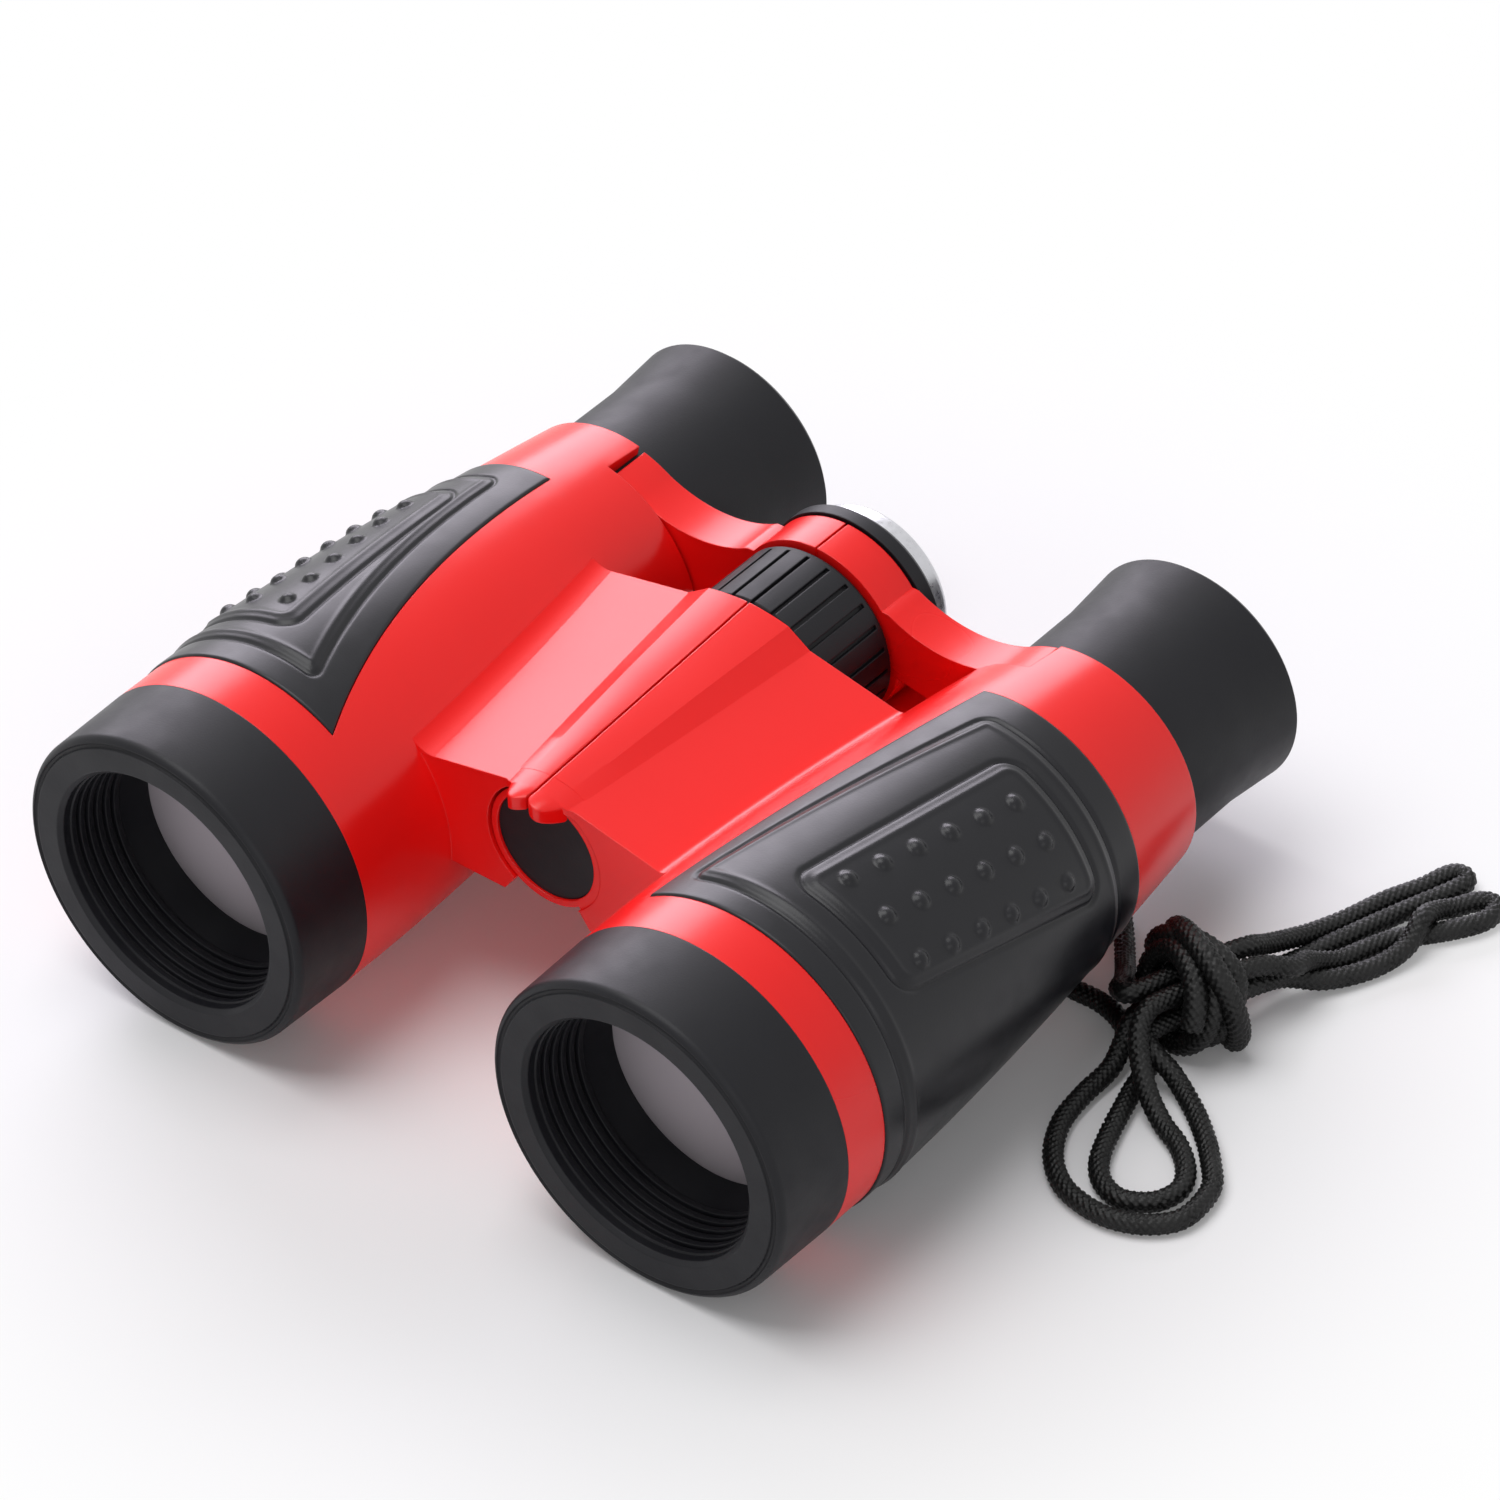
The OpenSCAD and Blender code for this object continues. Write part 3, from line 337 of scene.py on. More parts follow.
# Route in millimetres: x from the hinge, y back from the hood rims, z up from the ground
CORD_ROUTE = [
    (31.8, 69.2, 2.2), (31.8, 71.6, 2.2), (33.4, 73.9, 1.8), (36.4, 73.6, 1.3), (39.2, 70.8, 1.2),
    (42.0, 67.3, 1.6), (44.8, 63.6, 3.4), (46.7, 60.6, 5.4), (48.0, 58.4, 7.0), (49.6, 57.6, 7.8),
    (50.7, 59.3, 7.9), (52.5, 64.9, 7.8), (54.7, 71.0, 7.4), (54.5, 74.9, 5.0), (54.7, 79.0, 3.0),
    (55.3, 83.0, 1.6), (56.5, 86.9, 1.2), (58.0, 91.7, 1.2), (59.9, 95.9, 1.2), (60.7, 98.6, 1.2),
    (61.4, 99.8, 1.2), (62.4, 100.0, 1.2), (63.1, 99.2, 1.2), (62.8, 97.5, 1.2), (62.0, 95.3, 1.2),
    (60.3, 90.8, 1.2), (58.7, 86.2, 1.2), (57.4, 82.4, 1.2), (56.3, 78.6, 1.3), (55.6, 74.5, 2.4),
    (54.6, 70.4, 4.4), (52.5, 64.9, 4.7), (50.5, 59.4, 4.8), (50.2, 57.4, 4.2), (50.6, 55.4, 2.8),
    (51.0, 52.8, 1.5), (51.0, 48.3, 1.2), (51.7, 43.7, 1.2), (53.9, 39.3, 1.2), (57.3, 36.2, 1.2),
    (61.0, 35.0, 1.2), (64.5, 35.0, 1.2), (67.8, 36.3, 1.2), (70.2, 38.8, 1.2), (70.6, 42.0, 1.2),
    (69.8, 45.2, 1.2), (67.7, 47.8, 1.2), (65.3, 50.2, 1.2), (62.2, 52.7, 1.2), (59.2, 54.6, 1.4),
    (56.9, 55.3, 2.6), (54.8, 55.3, 3.9), (53.2, 56.2, 4.6), (53.2, 58.4, 4.7), (55.3, 63.9, 4.7),
    (57.4, 69.5, 4.7), (58.1, 73.6, 3.2), (60.3, 76.9, 1.7), (62.2, 80.1, 1.2), (63.7, 83.5, 1.2),
    (64.5, 86.8, 1.9), (64.2, 89.7, 3.4), (63.9, 92.7, 2.2), (64.5, 95.2, 1.2), (65.7, 97.3, 1.2),
    (67.1, 98.2, 1.2), (68.1, 97.6, 1.2), (68.4, 96.1, 1.2), (67.7, 94.2, 1.2), (66.1, 91.8, 1.2),
    (64.2, 89.5, 1.2), (62.3, 87.2, 1.2), (60.9, 84.1, 1.2), (59.8, 80.9, 1.4), (59.0, 78.2, 2.7),
    (59.1, 75.6, 4.6), (59.5, 73.0, 5.8), (57.6, 69.5, 7.4), (55.3, 63.9, 7.8), (53.3, 58.8, 7.9),
    (52.9, 56.6, 7.7), (53.5, 54.4, 6.7), (55.4, 52.3, 4.6), (57.6, 50.8, 2.6), (60.4, 49.4, 1.3),
    (63.6, 47.8, 1.2), (66.3, 45.4, 1.2), (67.6, 42.6, 1.2), (66.6, 39.6, 1.2), (63.6, 37.9, 1.2),
    (60.6, 38.8, 1.2), (58.4, 41.2, 1.2), (56.8, 45.0, 1.2), (55.5, 49.1, 1.2), (54.5, 52.4, 1.2),
    (54.0, 55.0, 1.2), (52.9, 57.0, 1.2), (50.8, 58.1, 1.2), (48.4, 59.0, 1.2), (46.0, 60.2, 1.2),
    (43.2, 60.8, 1.2), (39.4, 60.8, 1.2), (35.4, 61.8, 1.4), (32.6, 63.4, 2.0), (31.8, 65.2, 2.2),
    (31.8, 66.6, 2.2)]
CURVE_PIECES = 16
# Winding of the knot in millimetres, along an axis that leans in plan
KNOT_CENTRE = (53.9, 64.4, 6.2)
KNOT_R = 5.0
KNOT_TURNS = 3.5
KNOT_STEPS = 48
KNOT_PITCH = 2.45
KNOT_LEAN = math.radians(20.7)
KNOT_LOW = 1.45
# Lean of the turns, then where the outer turns start, how far they stand out and how far they step back
KNOT_TILT = 1.7
KNOT_CROSS = 2.1
KNOT_CROSS_LENGTH = 0.35
KNOT_OVER = 1.5
KNOT_BACK = 2.6
BRAID_STEP = 0.16 * MM
BRAID_SIDES = 40
BRAID_STRANDS = 8
BRAID_LEAD = 6.6 * MM
BRAID_DEPTH = 0.36 * MM


def placed(point):
    """A point of the route, in the frame."""
    return Vector((point[0] * MM, point[1] * MM + FRONT_Y, point[2] * MM))


def curve_point(a, b, c, d, t):
    """Catmull-Rom curve between b and c."""
    return (2 * b + (c - a) * t + (2 * a - 5 * b + 4 * c - d) * t * t + (3 * b - a - 3 * c + d) * t ** 3) / 2


def smooth_curve(points):
    """A smooth curve through points."""
    last = len(points) - 1
    curve = []
    for i in range(last):
        a, b, c, d = (points[max(0, min(last, i + k))] for k in (-1, 0, 1, 2))
        curve += [curve_point(a, b, c, d, k / CURVE_PIECES) for k in range(CURVE_PIECES)]
    return curve + [points[last]]


def even_steps(curve, step):
    """Points at equal distances along a curve."""
    lengths = [0.0]
    for a, b in zip(curve, curve[1:]):
        lengths.append(lengths[-1] + (b - a).length)
    count = round(lengths[-1] / step)
    points = []
    k = 0
    for along in stations(0.0, lengths[-1], count):
        while k < len(curve) - 2 and lengths[k + 1] < along:
            k += 1
        share = (along - lengths[k]) / (lengths[k + 1] - lengths[k])
        points.append(curve[k].lerp(curve[k + 1], share))
    return points


def knot_curve():
    """The winding round the strands: two turns that lean one way, then turns across them the other way."""
    points = []
    for i in range(int(KNOT_TURNS * KNOT_STEPS) + 1):
        turn = i / KNOT_STEPS
        angle = turn * math.tau
        over = min(1.0, max(0.0, (turn - KNOT_CROSS) / KNOT_CROSS_LENGTH))
        r = KNOT_R + KNOT_OVER * over
        lean = KNOT_TILT * (1 - 2 * over)
        along = (turn - KNOT_TURNS / 2) * KNOT_PITCH - KNOT_BACK * over + lean * math.sin(angle)
        across = r * math.cos(angle)
        points.append(placed((
            KNOT_CENTRE[0] + along * math.sin(KNOT_LEAN) + across * math.cos(KNOT_LEAN),
            KNOT_CENTRE[1] + along * math.cos(KNOT_LEAN) - across * math.sin(KNOT_LEAN),
            max(KNOT_LOW, KNOT_CENTRE[2] + r * math.sin(angle)))))
    return points


def braid_height(along, turn):
    """Height of a plain braid at a length and a share of a turn, from 0 in its gaps to 1 on its strands."""
    drift = BRAID_STRANDS * along / BRAID_LEAD
    a = BRAID_STRANDS * turn + drift
    b = BRAID_STRANDS * turn - drift
    across, length = a % 1, b % 1
    if (math.floor(a) + math.floor(b)) % 2:
        across, length = length, across
    crown = math.sqrt(max(0.0, 1 - (2 * across - 1) ** 2))
    return crown * (1 + math.sin(math.pi * length)) / 2


def headings(path):
    """Directions along a path."""
    last = len(path) - 1
    return [(path[min(i + 1, last)] - path[max(i - 1, 0)]).normalized() for i in range(last + 1)]


def braided_tube(name, path, radius):
    """A closed tube along a path, with a braid raised on it."""
    ahead = headings(path)
    side = ahead[0].orthogonal().normalized()
    rings = []
    for i, point in enumerate(path):
        side = (side - ahead[i] * side.dot(ahead[i])).normalized()
        rise = ahead[i].cross(side)
        ring = []
        for k in range(BRAID_SIDES):
            turn = k / BRAID_SIDES
            r = radius - BRAID_DEPTH * (1 - braid_height(i * BRAID_STEP, turn))
            angle = turn * math.tau
            ring.append(point + r * (side * math.cos(angle) + rise * math.sin(angle)))
        rings.append(ring)
    return loft(name, rings, CORD)


def make_cord():
    """The neck cord and the winding that ties it."""
    path = even_steps(smooth_curve([placed(point) for point in CORD_ROUTE]), BRAID_STEP)
    cord = braided_tube("braided_cord", path, CORD_D / 2 + BRAID_DEPTH / 2)
    knot = braided_tube("braided_knot", even_steps(knot_curve(), BRAID_STEP), CORD_D / 2 + BRAID_DEPTH)
    for piece, node in ((cord, "neck_cord"), (knot, "cord_knot")):
        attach(piece, "right_half")
        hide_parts(node)


# Barrels in millimetres: along from the hood rims, across from the barrel axis
RING_R = 19.0
COLLAR_R = 14.25
RING_REAR = 16.2
COLLAR_REAR = 74.4
TAPER_POWER = 1.6


def body_r(d):
    """A barrel's radius at a distance behind the hood rims."""
    back = max(0.0, d - RING_REAR) / (COLLAR_REAR - RING_REAR)
    return RING_R - (RING_R - COLLAR_R) * back ** TAPER_POWER


def barrel_point(half, d, r, angle):
    """A point round a barrel's axis, at an angle outwards from its top, in the frame."""
    across = BARREL_X + r * math.sin(angle) * MM
    return Vector((SIGN[half] * across, FRONT_Y + d * MM, BARREL_Z + r * math.cos(angle) * MM))


# Grips in millimetres: their seats, edges and rounded rims
GRIP_FRONT = 16.23
GRIP_REAR = 62.57
GRIP_DEPTH = 0.9
GRIP_PROUD = 0.2
EDGE_FRONT = 10.57
RIGHT_EDGE_REAR = 4.17
LEFT_EDGE_REAR = 0.77
GRIP_BOTTOM = 5.03
GRIP_EDGE_ROUND = 0.32
# Width of the plain band round a raised field: at the front, the rear and the bottom
BAND_WIDTHS = {"right": (3.3, 4.2, 3.2), "left": (3.6, 3.4, 3.2)}
# Width of the band along the top edge: at its front and its rear
TOP_BANDS = {"right": (2.3, 4.4), "left": (3.9, 4.1)}
# Raised field, and the panel on it with its corners across and along
LINE_ROUND = 1.6
FIELD_HEIGHT = 0.24
FIELD_BORDER = 1.3
PANEL_HEIGHT = 0.3
PANEL_BORDER = 1.4
PANEL_ANGLE = math.radians(39)
PANEL_CORNERS = [(-10.8, 23.6), (5.1, 23.6), (10.9, 54.9), (-6.3, 54.9)]
PANEL_ROUND = 2.5
# Outlines of the raised fields: a groove, then a sloped border with soft corners, then a bead
BORDER_SOFT = 0.05
GROOVE_DEPTH = 0.3
GROOVE_WIDTH = 0.22
BEAD_HEIGHT = 0.11
BEAD_WIDTH = 0.32
# Dots, in rows that drift outwards as they run back, in millimetres and degrees
DOT_R = 1.1
DOT_HEIGHT = 0.6
DOT_ROWS = 3
DOTS_IN_ROW = 6
DOT_FIRST = 27.9
DOT_PITCH = 4.5
DOT_ANGLE = 17.0
DOT_ROW_ANGLE = 16.2
DOT_DRIFT = 2.9
DOTS = [(DOT_FIRST + i * DOT_PITCH, math.radians(DOT_ANGLE + row * DOT_ROW_ANGLE + i * DOT_DRIFT))
        for row in range(DOT_ROWS) for i in range(DOTS_IN_ROW)]
# Mesh of a grip: its step, its closer steps from an edge, and the columns of its hidden back
GRIP_STEP = 0.21
GRIP_EDGE_STEPS = (0.0, 0.05, 0.12, 0.21, 0.32)
GRIP_BACK_COLUMNS = 24


def top_edge(half, d):
    """Place of a grip's top edge: straight on the right grip, an arc on the left one."""
    span = GRIP_REAR - GRIP_FRONT
    if half == "right":
        return -EDGE_FRONT + (EDGE_FRONT - RIGHT_EDGE_REAR) * (d - GRIP_FRONT) / span
    drop = EDGE_FRONT - LEFT_EDGE_REAR
    r = (span ** 2 + drop ** 2) / (2 * drop)
    return math.sqrt(r ** 2 - (GRIP_REAR - d) ** 2) - r - LEFT_EDGE_REAR


def edge_angles(half, d, r):
    """Angles of a grip's top and bottom edges at a radius."""
    return math.asin(top_edge(half, d) / r), math.pi - math.asin(GRIP_BOTTOM / r)


def soft_plus(x):
    """A ramp from zero with a soft corner."""
    return max(x, 0.0) + math.log1p(math.exp(-abs(x)))


def raised_field(inside, height, border):
    """Height of a raised field by the distance inside its outline: a groove, a sloped border and a bead."""
    rise = (soft_plus(inside / BORDER_SOFT) - soft_plus((inside - border) / BORDER_SOFT)) * BORDER_SOFT
    groove = GROOVE_DEPTH * math.exp(-(inside / GROOVE_WIDTH) ** 2)
    bead = BEAD_HEIGHT * math.exp(-((inside - border) / BEAD_WIDTH) ** 2)
    return height * rise / border - groove + bead


def inside_round(distances, r):
    """Distance inside an outline with round corners, from the distances inside its sides."""
    deep = [max(0.0, r - distance) for distance in distances]
    if max(deep) > 0:
        return r - math.hypot(*deep)
    return min(distances)


def field_inside(half, distances):
    """Distance inside a grip's raised field, from the distances inside the grip's edges."""
    front, rear, top, bottom = distances
    front_band, rear_band, bottom_band = BAND_WIDTHS[half]
    top_front, top_rear = TOP_BANDS[half]
    top_band = top_front + (top_rear - top_front) * front / (front + rear)
    inner = (front - front_band, rear - rear_band, top - top_band, bottom - bottom_band)
    return inside_round(inner, LINE_ROUND)


def panel_inside(across, d):
    """Distance inside the raised panel round the dots."""
    distances = []
    for (ax, ay), (bx, by) in zip(PANEL_CORNERS, PANEL_CORNERS[1:] + PANEL_CORNERS[:1]):
        length = math.hypot(bx - ax, by - ay)
        distances.append(((bx - ax) * (d - ay) - (by - ay) * (across - ax)) / length)
    return inside_round(distances, PANEL_ROUND)


def grip_height(half, d, r, angle, first, last):
    """Height of a grip above the barrel, at an angle between its first and last."""
    distances = (d - GRIP_FRONT, GRIP_REAR - d, r * (angle - first), r * (last - angle))
    height = GRIP_PROUD
    edge = max(0.0, min(distances)) / GRIP_EDGE_ROUND
    if edge < 1:
        height -= GRIP_EDGE_ROUND * (1 - math.sqrt(1 - (1 - edge) ** 2))
    height += raised_field(field_inside(half, distances), FIELD_HEIGHT, FIELD_BORDER)
    if abs(angle - PANEL_ANGLE) < math.pi / 2:
        inside = panel_inside(r * math.sin(angle - PANEL_ANGLE), d)
        height += raised_field(inside, PANEL_HEIGHT, PANEL_BORDER)
    for dot_d, dot_angle in DOTS:
        away = math.hypot(d - dot_d, r * (angle - dot_angle))
        if away < DOT_R:
            height += max(0.0, math.sqrt(DOT_R ** 2 - away ** 2) - DOT_R + DOT_HEIGHT)
    return height


def edge_steps(length):
    """Places from 0 to a length, closer together at both ends."""
    margin = GRIP_EDGE_STEPS[-1]
    count = round((length - 2 * margin) / GRIP_STEP)
    middle = [margin + (length - 2 * margin) * i / count for i in range(1, count)]
    return [*GRIP_EDGE_STEPS, *middle, *(length - place for place in reversed(GRIP_EDGE_STEPS))]


def grip_columns():
    """Shares of a grip's girth at its columns, by a girth between its widest and its narrowest."""
    girth = RING_R * (math.pi - 2 * math.asin(GRIP_BOTTOM / RING_R) + math.asin(EDGE_FRONT / RING_R))
    return [place / girth for place in edge_steps(girth)]


def grip_row(mesh, half, d, shares, columns):
    """One row of a grip: its points on top, and those of its back by column."""
    r = body_r(d)
    first, last = edge_angles(half, d, r)
    top = []
    for share in shares:
        angle = first + (last - first) * share
        height = grip_height(half, d, r, angle, first, last)
        top.append(mesh.verts.new(barrel_point(half, d, r + height, angle)))
    deep = r - GRIP_DEPTH
    first, last = edge_angles(half, d, deep)
    back = {}
    for j in columns:
        back[j] = mesh.verts.new(barrel_point(half, d, deep, first + (last - first) * shares[j]))
    return top, back


def make_grip(half):
    """A moulded grip cover with its raised field, panel and dots, closed at the back."""
    mesh = bmesh.new()
    shares = grip_columns()
    columns = range(len(shares))
    back_columns = [round(place) for place in stations(0, columns[-1], GRIP_BACK_COLUMNS)]
    places = [GRIP_FRONT + place for place in edge_steps(GRIP_REAR - GRIP_FRONT)]
    rows = []
    for d in places:
        at_end = d in (places[0], places[-1])
        rows.append(grip_row(mesh, half, d, shares, columns if at_end else back_columns))
    for (top, back), (far_top, far_back) in zip(rows, rows[1:]):
        for j in columns[1:]:
            mesh.faces.new((top[j - 1], top[j], far_top[j], far_top[j - 1]))
        for j in (columns[0], columns[-1]):
            mesh.faces.new((top[j], far_top[j], far_back[j], back[j]))
        for a, b in zip(back_columns, back_columns[1:]):
            near = [back[j] for j in range(a, b + 1) if j in back]
            far = [far_back[j] for j in range(a, b + 1) if j in far_back]
            mesh.faces.new(near + far[::-1])
    for top, back in (rows[0], rows[-1]):
        for j in columns[1:]:
            mesh.faces.new((top[j - 1], top[j], back[j], back[j - 1]))
    grip = finish_mesh(half + "_grip_cover", mesh, GRIP)
    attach(grip, half + "_half")
    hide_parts(half + "_grip")


# Bridge in millimetres: x from the hinge, d back from the hood rims, z up from the barrel axes
HINGE_RISE = 6.0
WING_FRONT = 24.02
WING_REAR = 57.98
WING_TOP = 14.2
WING_SLOPE = math.radians(11.7)
WING_CLIMB = math.radians(2.7)
WING_EDGE_X = -0.5


def bridge_point(half, x, d, z):
    """A point of the bridge, in the frame."""
    return Vector((SIGN[half] * x * MM, FRONT_Y + d * MM, BARREL_Z + z * MM))


def wing_edge_z(d):
    """Height of a wing's inner edge."""
    return WING_TOP + math.tan(WING_CLIMB) * (d - WING_FRONT) / math.cos(WING_SLOPE)


def wing_z(x, d):
    """Height of a wing's top."""
    return wing_edge_z(d) - math.tan(WING_SLOPE) * (x - WING_EDGE_X)


def add_red_form(half, name, sections, material, shading):
    """A red form on a half of the bridge, from the x, d and z of its sections."""
    rings = [[bridge_point(half, *place) for place in section] for section in sections]
    form = loft(half + "_" + name, rings, material)
    smooth(form, shading)
    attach(form, half + "_half")


# Fillets between the wings and the barrels: radius and material
FILLETS = {"right": (1.6, RED_PLAIN), "left": (3.0, RED_VALLEY)}
FILLET_STATIONS = 34
FILLET_STEPS = 12
FILLET_SINK = 0.6


def fillet_section(d, fillet_r):
    """Section of a fillet at a station: its arc from the wing to the barrel, then a corner inside them."""
    axis = Vector((BARREL_X / MM, 0.0))
    rise = Vector((math.sin(WING_SLOPE), math.cos(WING_SLOPE)))
    outwards = Vector((math.cos(WING_SLOPE), -math.sin(WING_SLOPE)))
    edge = Vector((WING_EDGE_X, wing_edge_z(d)))
    r = body_r(d)
    height = (axis - edge).dot(rise)
    off = fillet_r - height
    centre = axis + rise * off - outwards * math.sqrt((r + fillet_r) ** 2 - off ** 2)
    corner = axis - rise * height - outwards * math.sqrt(r ** 2 - height ** 2)
    start = -rise
    end = (axis - centre).normalized()
    bend = math.atan2(start.x * end.y - start.y * end.x, start.dot(end))
    section = []
    for turn in stations(0.0, bend, FILLET_STEPS):
        way = Vector((start.x * math.cos(turn) - start.y * math.sin(turn),
                      start.x * math.sin(turn) + start.y * math.cos(turn)))
        section.append(centre + way * fillet_r)
    return section + [corner + (corner - centre).normalized() * FILLET_SINK]


def make_fillet(half):
    """The soft valley between a wing and its barrel."""
    fillet_r, material = FILLETS[half]
    sections = []
    for d in stations(WING_FRONT, WING_REAR, FILLET_STATIONS):
        sections.append([(point.x, d, point.y) for point in fillet_section(d, fillet_r)])
    add_red_form(half, "wing_fillet", sections, material, SOFT)


# Nose of the hump over the front cap: the x and d of its tip, of the seam and of its end on the wing
NOSE_TOP_R = 8.24
NOSE_LOW_R = 6.6
NOSE_TIP = (1.5, 21.2)
NOSE_SEAM = (0.16, 21.95)
NOSE_END = (3.5, 23.6)
NOSE_REAR = 24.05
NOSE_ROUND = 0.35
NOSE_ROUND_MIDDLE = 0.3 * NOSE_ROUND
NOSE_STEPS = 16


def nose_front(x):
    """Front of the nose, which is blunt and falls back to the seam and to the wing."""
    end = NOSE_SEAM if x < NOSE_TIP[0] else NOSE_END
    return NOSE_TIP[1] + (end[1] - NOSE_TIP[1]) * ((x - NOSE_TIP[0]) / (end[0] - NOSE_TIP[0])) ** 2


def make_nose(half):
    """The thick blunt lip of the hump in front of the cap."""
    sections = []
    for x in stations(NOSE_SEAM[0], NOSE_END[0], NOSE_STEPS):
        top = HINGE_RISE + math.sqrt(NOSE_TOP_R ** 2 - x ** 2)
        low = HINGE_RISE + math.sqrt(NOSE_LOW_R ** 2 - x ** 2)
        front = nose_front(x)
        profile = [(NOSE_REAR, low), (front, low), (front, top - NOSE_ROUND),
                   (front + NOSE_ROUND_MIDDLE, top - NOSE_ROUND_MIDDLE), (front + NOSE_ROUND, top),
                   (NOSE_REAR, top)]
        sections.append([(x, d, z) for d, z in profile])
    add_red_form(half, "nose_lip", sections, RED, SOFT)


# Webs between the barrels and the hub, below the arms: their section in x and z
WEB_FRONT = 68.9
WEB_REAR = 74.3
WEB_SECTION = [(7.0, -0.75), (6.6, -1.0), (5.4, -2.0), (5.7, -2.2), (17.6, -2.2), (17.8, -2.0),
               (17.8, -0.95), (17.6, -0.75)]
WEB_ROUND = 0.25


def make_rear_web(half):
    """The web between a barrel and the hub, with a narrower rear end."""
    middle_x = sum(x for x, z in WEB_SECTION) / len(WEB_SECTION)
    middle_z = sum(z for x, z in WEB_SECTION) / len(WEB_SECTION)
    sections = []
    for d, shrink in ((WEB_FRONT, 0), (WEB_REAR - WEB_ROUND, 0), (WEB_REAR, WEB_ROUND)):
        sections.append([(x + math.copysign(shrink, middle_x - x), d, z + math.copysign(shrink, middle_z - z))
                         for x, z in WEB_SECTION])
    add_red_form(half, "rear_web", sections, RED, SOFT)


# Hump, a cone that tilts down to the rear
HUMP_FRONT = 22.02
HUMP_REAR_R = 14.0
HUMP_REAR_Z = 2.8
HUMP_TILT = math.atan2(HINGE_RISE - HUMP_REAR_Z, WING_REAR - HUMP_FRONT)
HUMP_GROW = (HUMP_REAR_R - NOSE_TOP_R) / math.hypot(WING_REAR - HUMP_FRONT, HINGE_RISE - HUMP_REAR_Z)
HUMP_WIDEST = NOSE_TOP_R + 2.0
HALVE_WITHIN = 0.0005
# Edges along the hump: where they start and are fully grown, and their places as shares of its half width
HUMP_EDGE_FRONT = 26.0
HUMP_EDGE_GROWN = 44.0
HUMP_EDGE_STATIONS = 40
HUMP_EDGE_STEPS = 10
HUMP_START_SHARE = 0.06
HUMP_EDGE_SHARE = 0.66
# Lift of an edge, how far its wedge is sunk all over, past the hump's foot and at its root
HUMP_EDGE_LIFT = 0.4
HUMP_EDGE_SUNK = 0.012
HUMP_EDGE_PAST = 0.1
HUMP_EDGE_DEEP = 0.5


def halve(is_low, low, high):
    """Place between two values where a test turns from true to false."""
    while high - low > HALVE_WITHIN:
        middle = (low + high) / 2
        if is_low(middle):
            low = middle
        else:
            high = middle
    return low


def hump_z(x, d):
    """Height of the hump's cone."""
    back = d - HUMP_FRONT

    def inside(z):
        rise = z - HINGE_RISE
        along = back * math.cos(HUMP_TILT) - rise * math.sin(HUMP_TILT)
        return x ** 2 + back ** 2 + rise ** 2 - along ** 2 < (NOSE_TOP_R + HUMP_GROW * along) ** 2

    return halve(inside, HINGE_RISE, HINGE_RISE + HUMP_REAR_R)


def hump_edge_section(d):
    """Section of the wedge that makes an edge between the hump's top and its flank."""
    width = halve(lambda x: hump_z(x, d) > wing_z(x, d), 0.0, HUMP_WIDEST)
    start = HUMP_START_SHARE * width
    edge = HUMP_EDGE_SHARE * width
    foot = width + HUMP_EDGE_PAST
    grown = min(1.0, (d - HUMP_EDGE_FRONT) / (HUMP_EDGE_GROWN - HUMP_EDGE_FRONT))
    section = []
    for share in stations(0.0, 1.0, HUMP_EDGE_STEPS):
        x = start + (edge - start) * share
        section.append((x, hump_z(x, d) - HUMP_EDGE_SUNK + HUMP_EDGE_LIFT * grown * share ** 2))
    section.append((foot, wing_z(foot, d) - HUMP_EDGE_SUNK))
    return section + [(edge, hump_z(edge, d) - HUMP_EDGE_DEEP)]


def make_hump_edge(half):
    """The edge between the hump's top and its flank, which fades out towards the nose."""
    sections = []
    for d in stations(HUMP_EDGE_FRONT, WING_REAR, HUMP_EDGE_STATIONS):
        sections.append([(x, d, z) for x, z in hump_edge_section(d)])
    add_red_form(half, "hump_edge", sections, RED_PLAIN, CRISP)


# Floor and light, in metres
WHITE = (1, 1, 1, 1)
FLOOR_SIZE = 6.0
FLOOR_SCALE = 3
FLOOR_SHADES = (0.94, 0.93, 0.95), (0.96, 0.95, 0.97)
FLOOR_ROUGHNESS = 0.6
# Share of plain white in the floor as it is seen: near the object, and from where to where it grows to one
FLOOR_LIFT = 0.06
FLOOR_NEAR = 0.055
FLOOR_FAR = 0.125
SURROUND = 0.24
# Softboxes: name, direction from the object, distance and size in metres, radiance, colour
SOFTBOXES = [
    ("back_box", (-0.70, 0.60, 0.36), 1.6, (1.3, 0.85), 5.4, (0.94, 0.88, 1.0)),
    ("top_box", (-0.25, -0.12, 1.0), 2.0, (1.5, 1.5), 3.8, (1, 1, 1)),
    ("front_box", (0.75, -0.65, 0.40), 1.6, (0.9, 0.6), 1.3, (1, 1, 1))]


def combine(tree, operation, first, second):
    """Two values joined by a maths node."""
    made = tree.nodes.new("ShaderNodeMath")
    made.operation = operation
    tree.links.new(first, made.inputs[0])
    tree.links.new(second, made.inputs[1])
    return made.outputs[0]


def seen_rays(tree):
    """One where a ray comes from the camera, a reflection or a clear part, else zero."""
    rays = tree.nodes.new("ShaderNodeLightPath").outputs
    seen = combine(tree, "MAXIMUM", rays["Is Camera Ray"], rays["Is Glossy Ray"])
    return combine(tree, "MAXIMUM", seen, rays["Is Transmission Ray"])


def mix_shaders(tree, share, first, second, end):
    """Joins two shaders by a share into an output."""
    mix = tree.nodes.new("ShaderNodeMixShader")
    tree.links.new(share, mix.inputs[0])
    tree.links.new(first, mix.inputs[1])
    tree.links.new(second, mix.inputs[2])
    tree.links.new(mix.outputs[0], tree.nodes[end].inputs["Surface"])


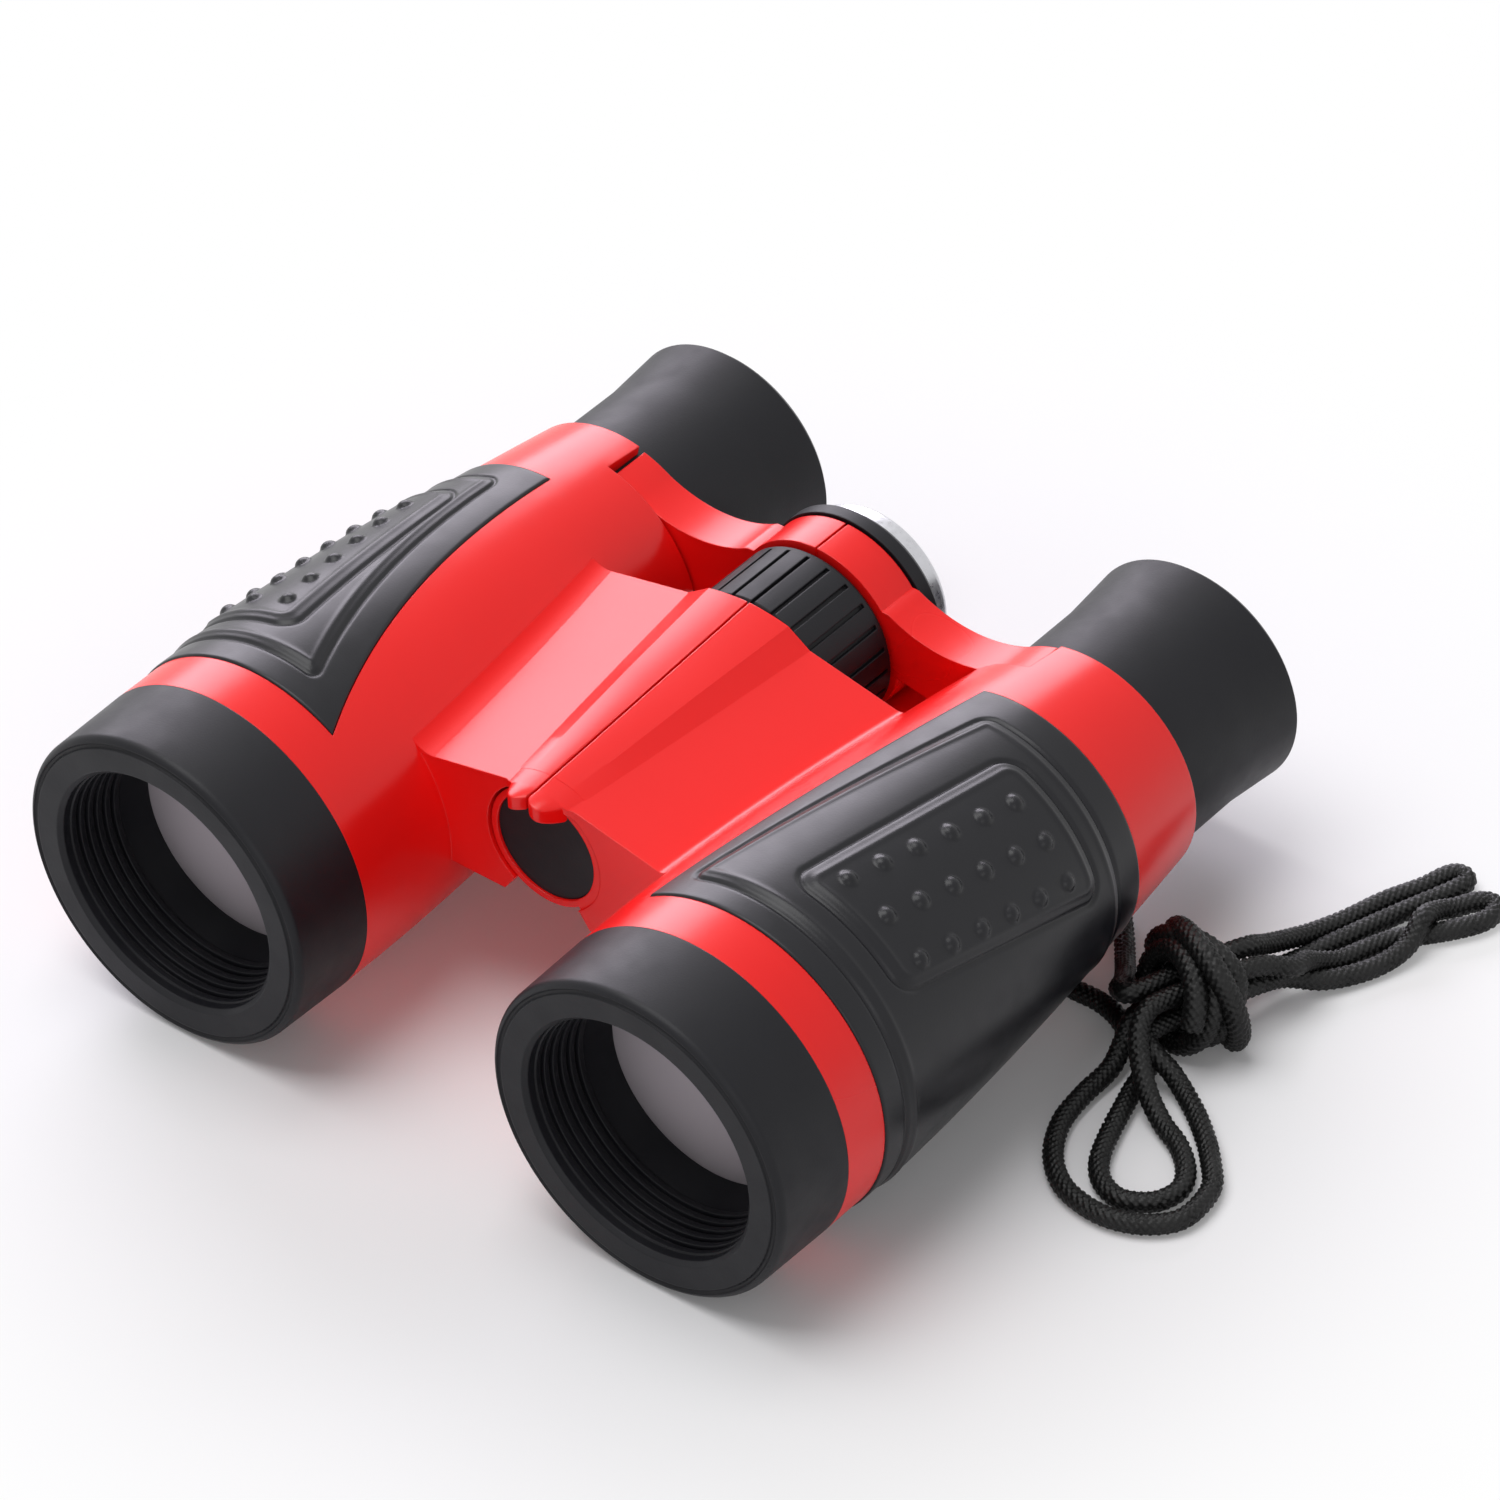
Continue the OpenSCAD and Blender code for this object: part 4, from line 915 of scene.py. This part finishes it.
def floor_material():
    """Matt pale floor that is seen as white away from the object."""
    material, tree, shader = new_material("floor")
    tree.links.new(tint(tree, noise(tree, FLOOR_SCALE), *FLOOR_SHADES), shader.inputs["Base Color"])
    set_sockets(shader, Roughness=FLOOR_ROUGHNESS, Specular_IOR_Level=0.0)
    glow = add_node(tree, "ShaderNodeEmission", Color=WHITE, Strength=1.0)
    place = tree.nodes.new("ShaderNodeTexCoord")
    away = tree.nodes.new("ShaderNodeVectorMath")
    away.operation = "LENGTH"
    tree.links.new(place.outputs["Object"], away.inputs[0])
    lift = add_node(tree, "ShaderNodeMapRange", From_Min=FLOOR_NEAR, From_Max=FLOOR_FAR,
                    To_Min=FLOOR_LIFT, To_Max=1.0)
    lift.interpolation_type = "SMOOTHSTEP"
    tree.links.new(away.outputs["Value"], lift.inputs["Value"])
    share = combine(tree, "MULTIPLY", seen_rays(tree), lift.outputs["Result"])
    mix_shaders(tree, share, shader.outputs[0], glow.outputs[0], "Material Output")
    return material


def make_floor():
    """A plain pale floor that keeps the shadow near the object and runs out to white."""
    data = bpy.data.meshes.new("floor")
    reach = FLOOR_SIZE / 2
    corners = [(-reach, -reach, 0), (reach, -reach, 0), (reach, reach, 0), (-reach, reach, 0)]
    data.from_pydata(corners, [], [(0, 1, 2, 3)])
    data.materials.append(floor_material())
    floor = add_object("floor", data)


def add_softbox(name, towards, distance, size, radiance, color):
    """A rectangular lamp that shines at the camera's target from a direction."""
    data = bpy.data.lights.new(name, "AREA")
    data.color = color
    data.shape = "RECTANGLE"
    data.size, data.size_y = size
    data.energy = radiance * math.pi * size[0] * size[1]
    lamp = add_object(name, data)
    away = Vector(towards).normalized()
    lamp.location = CAMERA_TARGET + away * distance
    lamp.rotation_mode = "QUATERNION"
    lamp.rotation_quaternion = away.to_track_quat("Z", "Y")


def make_light():
    """Soft studio light: a bright box behind, one overhead, a weak one in front, and a pale surround."""
    for box in SOFTBOXES:
        add_softbox(*box)
    world = bpy.data.worlds.new("surround")
    world.use_nodes = True
    tree = world.node_tree
    light = tree.nodes["Background"]
    set_sockets(light, Color=WHITE, Strength=SURROUND)
    white = add_node(tree, "ShaderNodeBackground", Color=WHITE, Strength=1.0)
    mix_shaders(tree, seen_rays(tree), light.outputs[0], white.outputs[0], "World Output")
    bpy.context.scene.world = world
    bpy.context.scene.view_settings.view_transform = "Standard"


make_camera()
make_cord()
for half in SIGN:
    make_grip(half)
    make_fillet(half)
    make_nose(half)
    make_rear_web(half)
    make_hump_edge(half)
dress_nodes()
make_floor()
make_light()
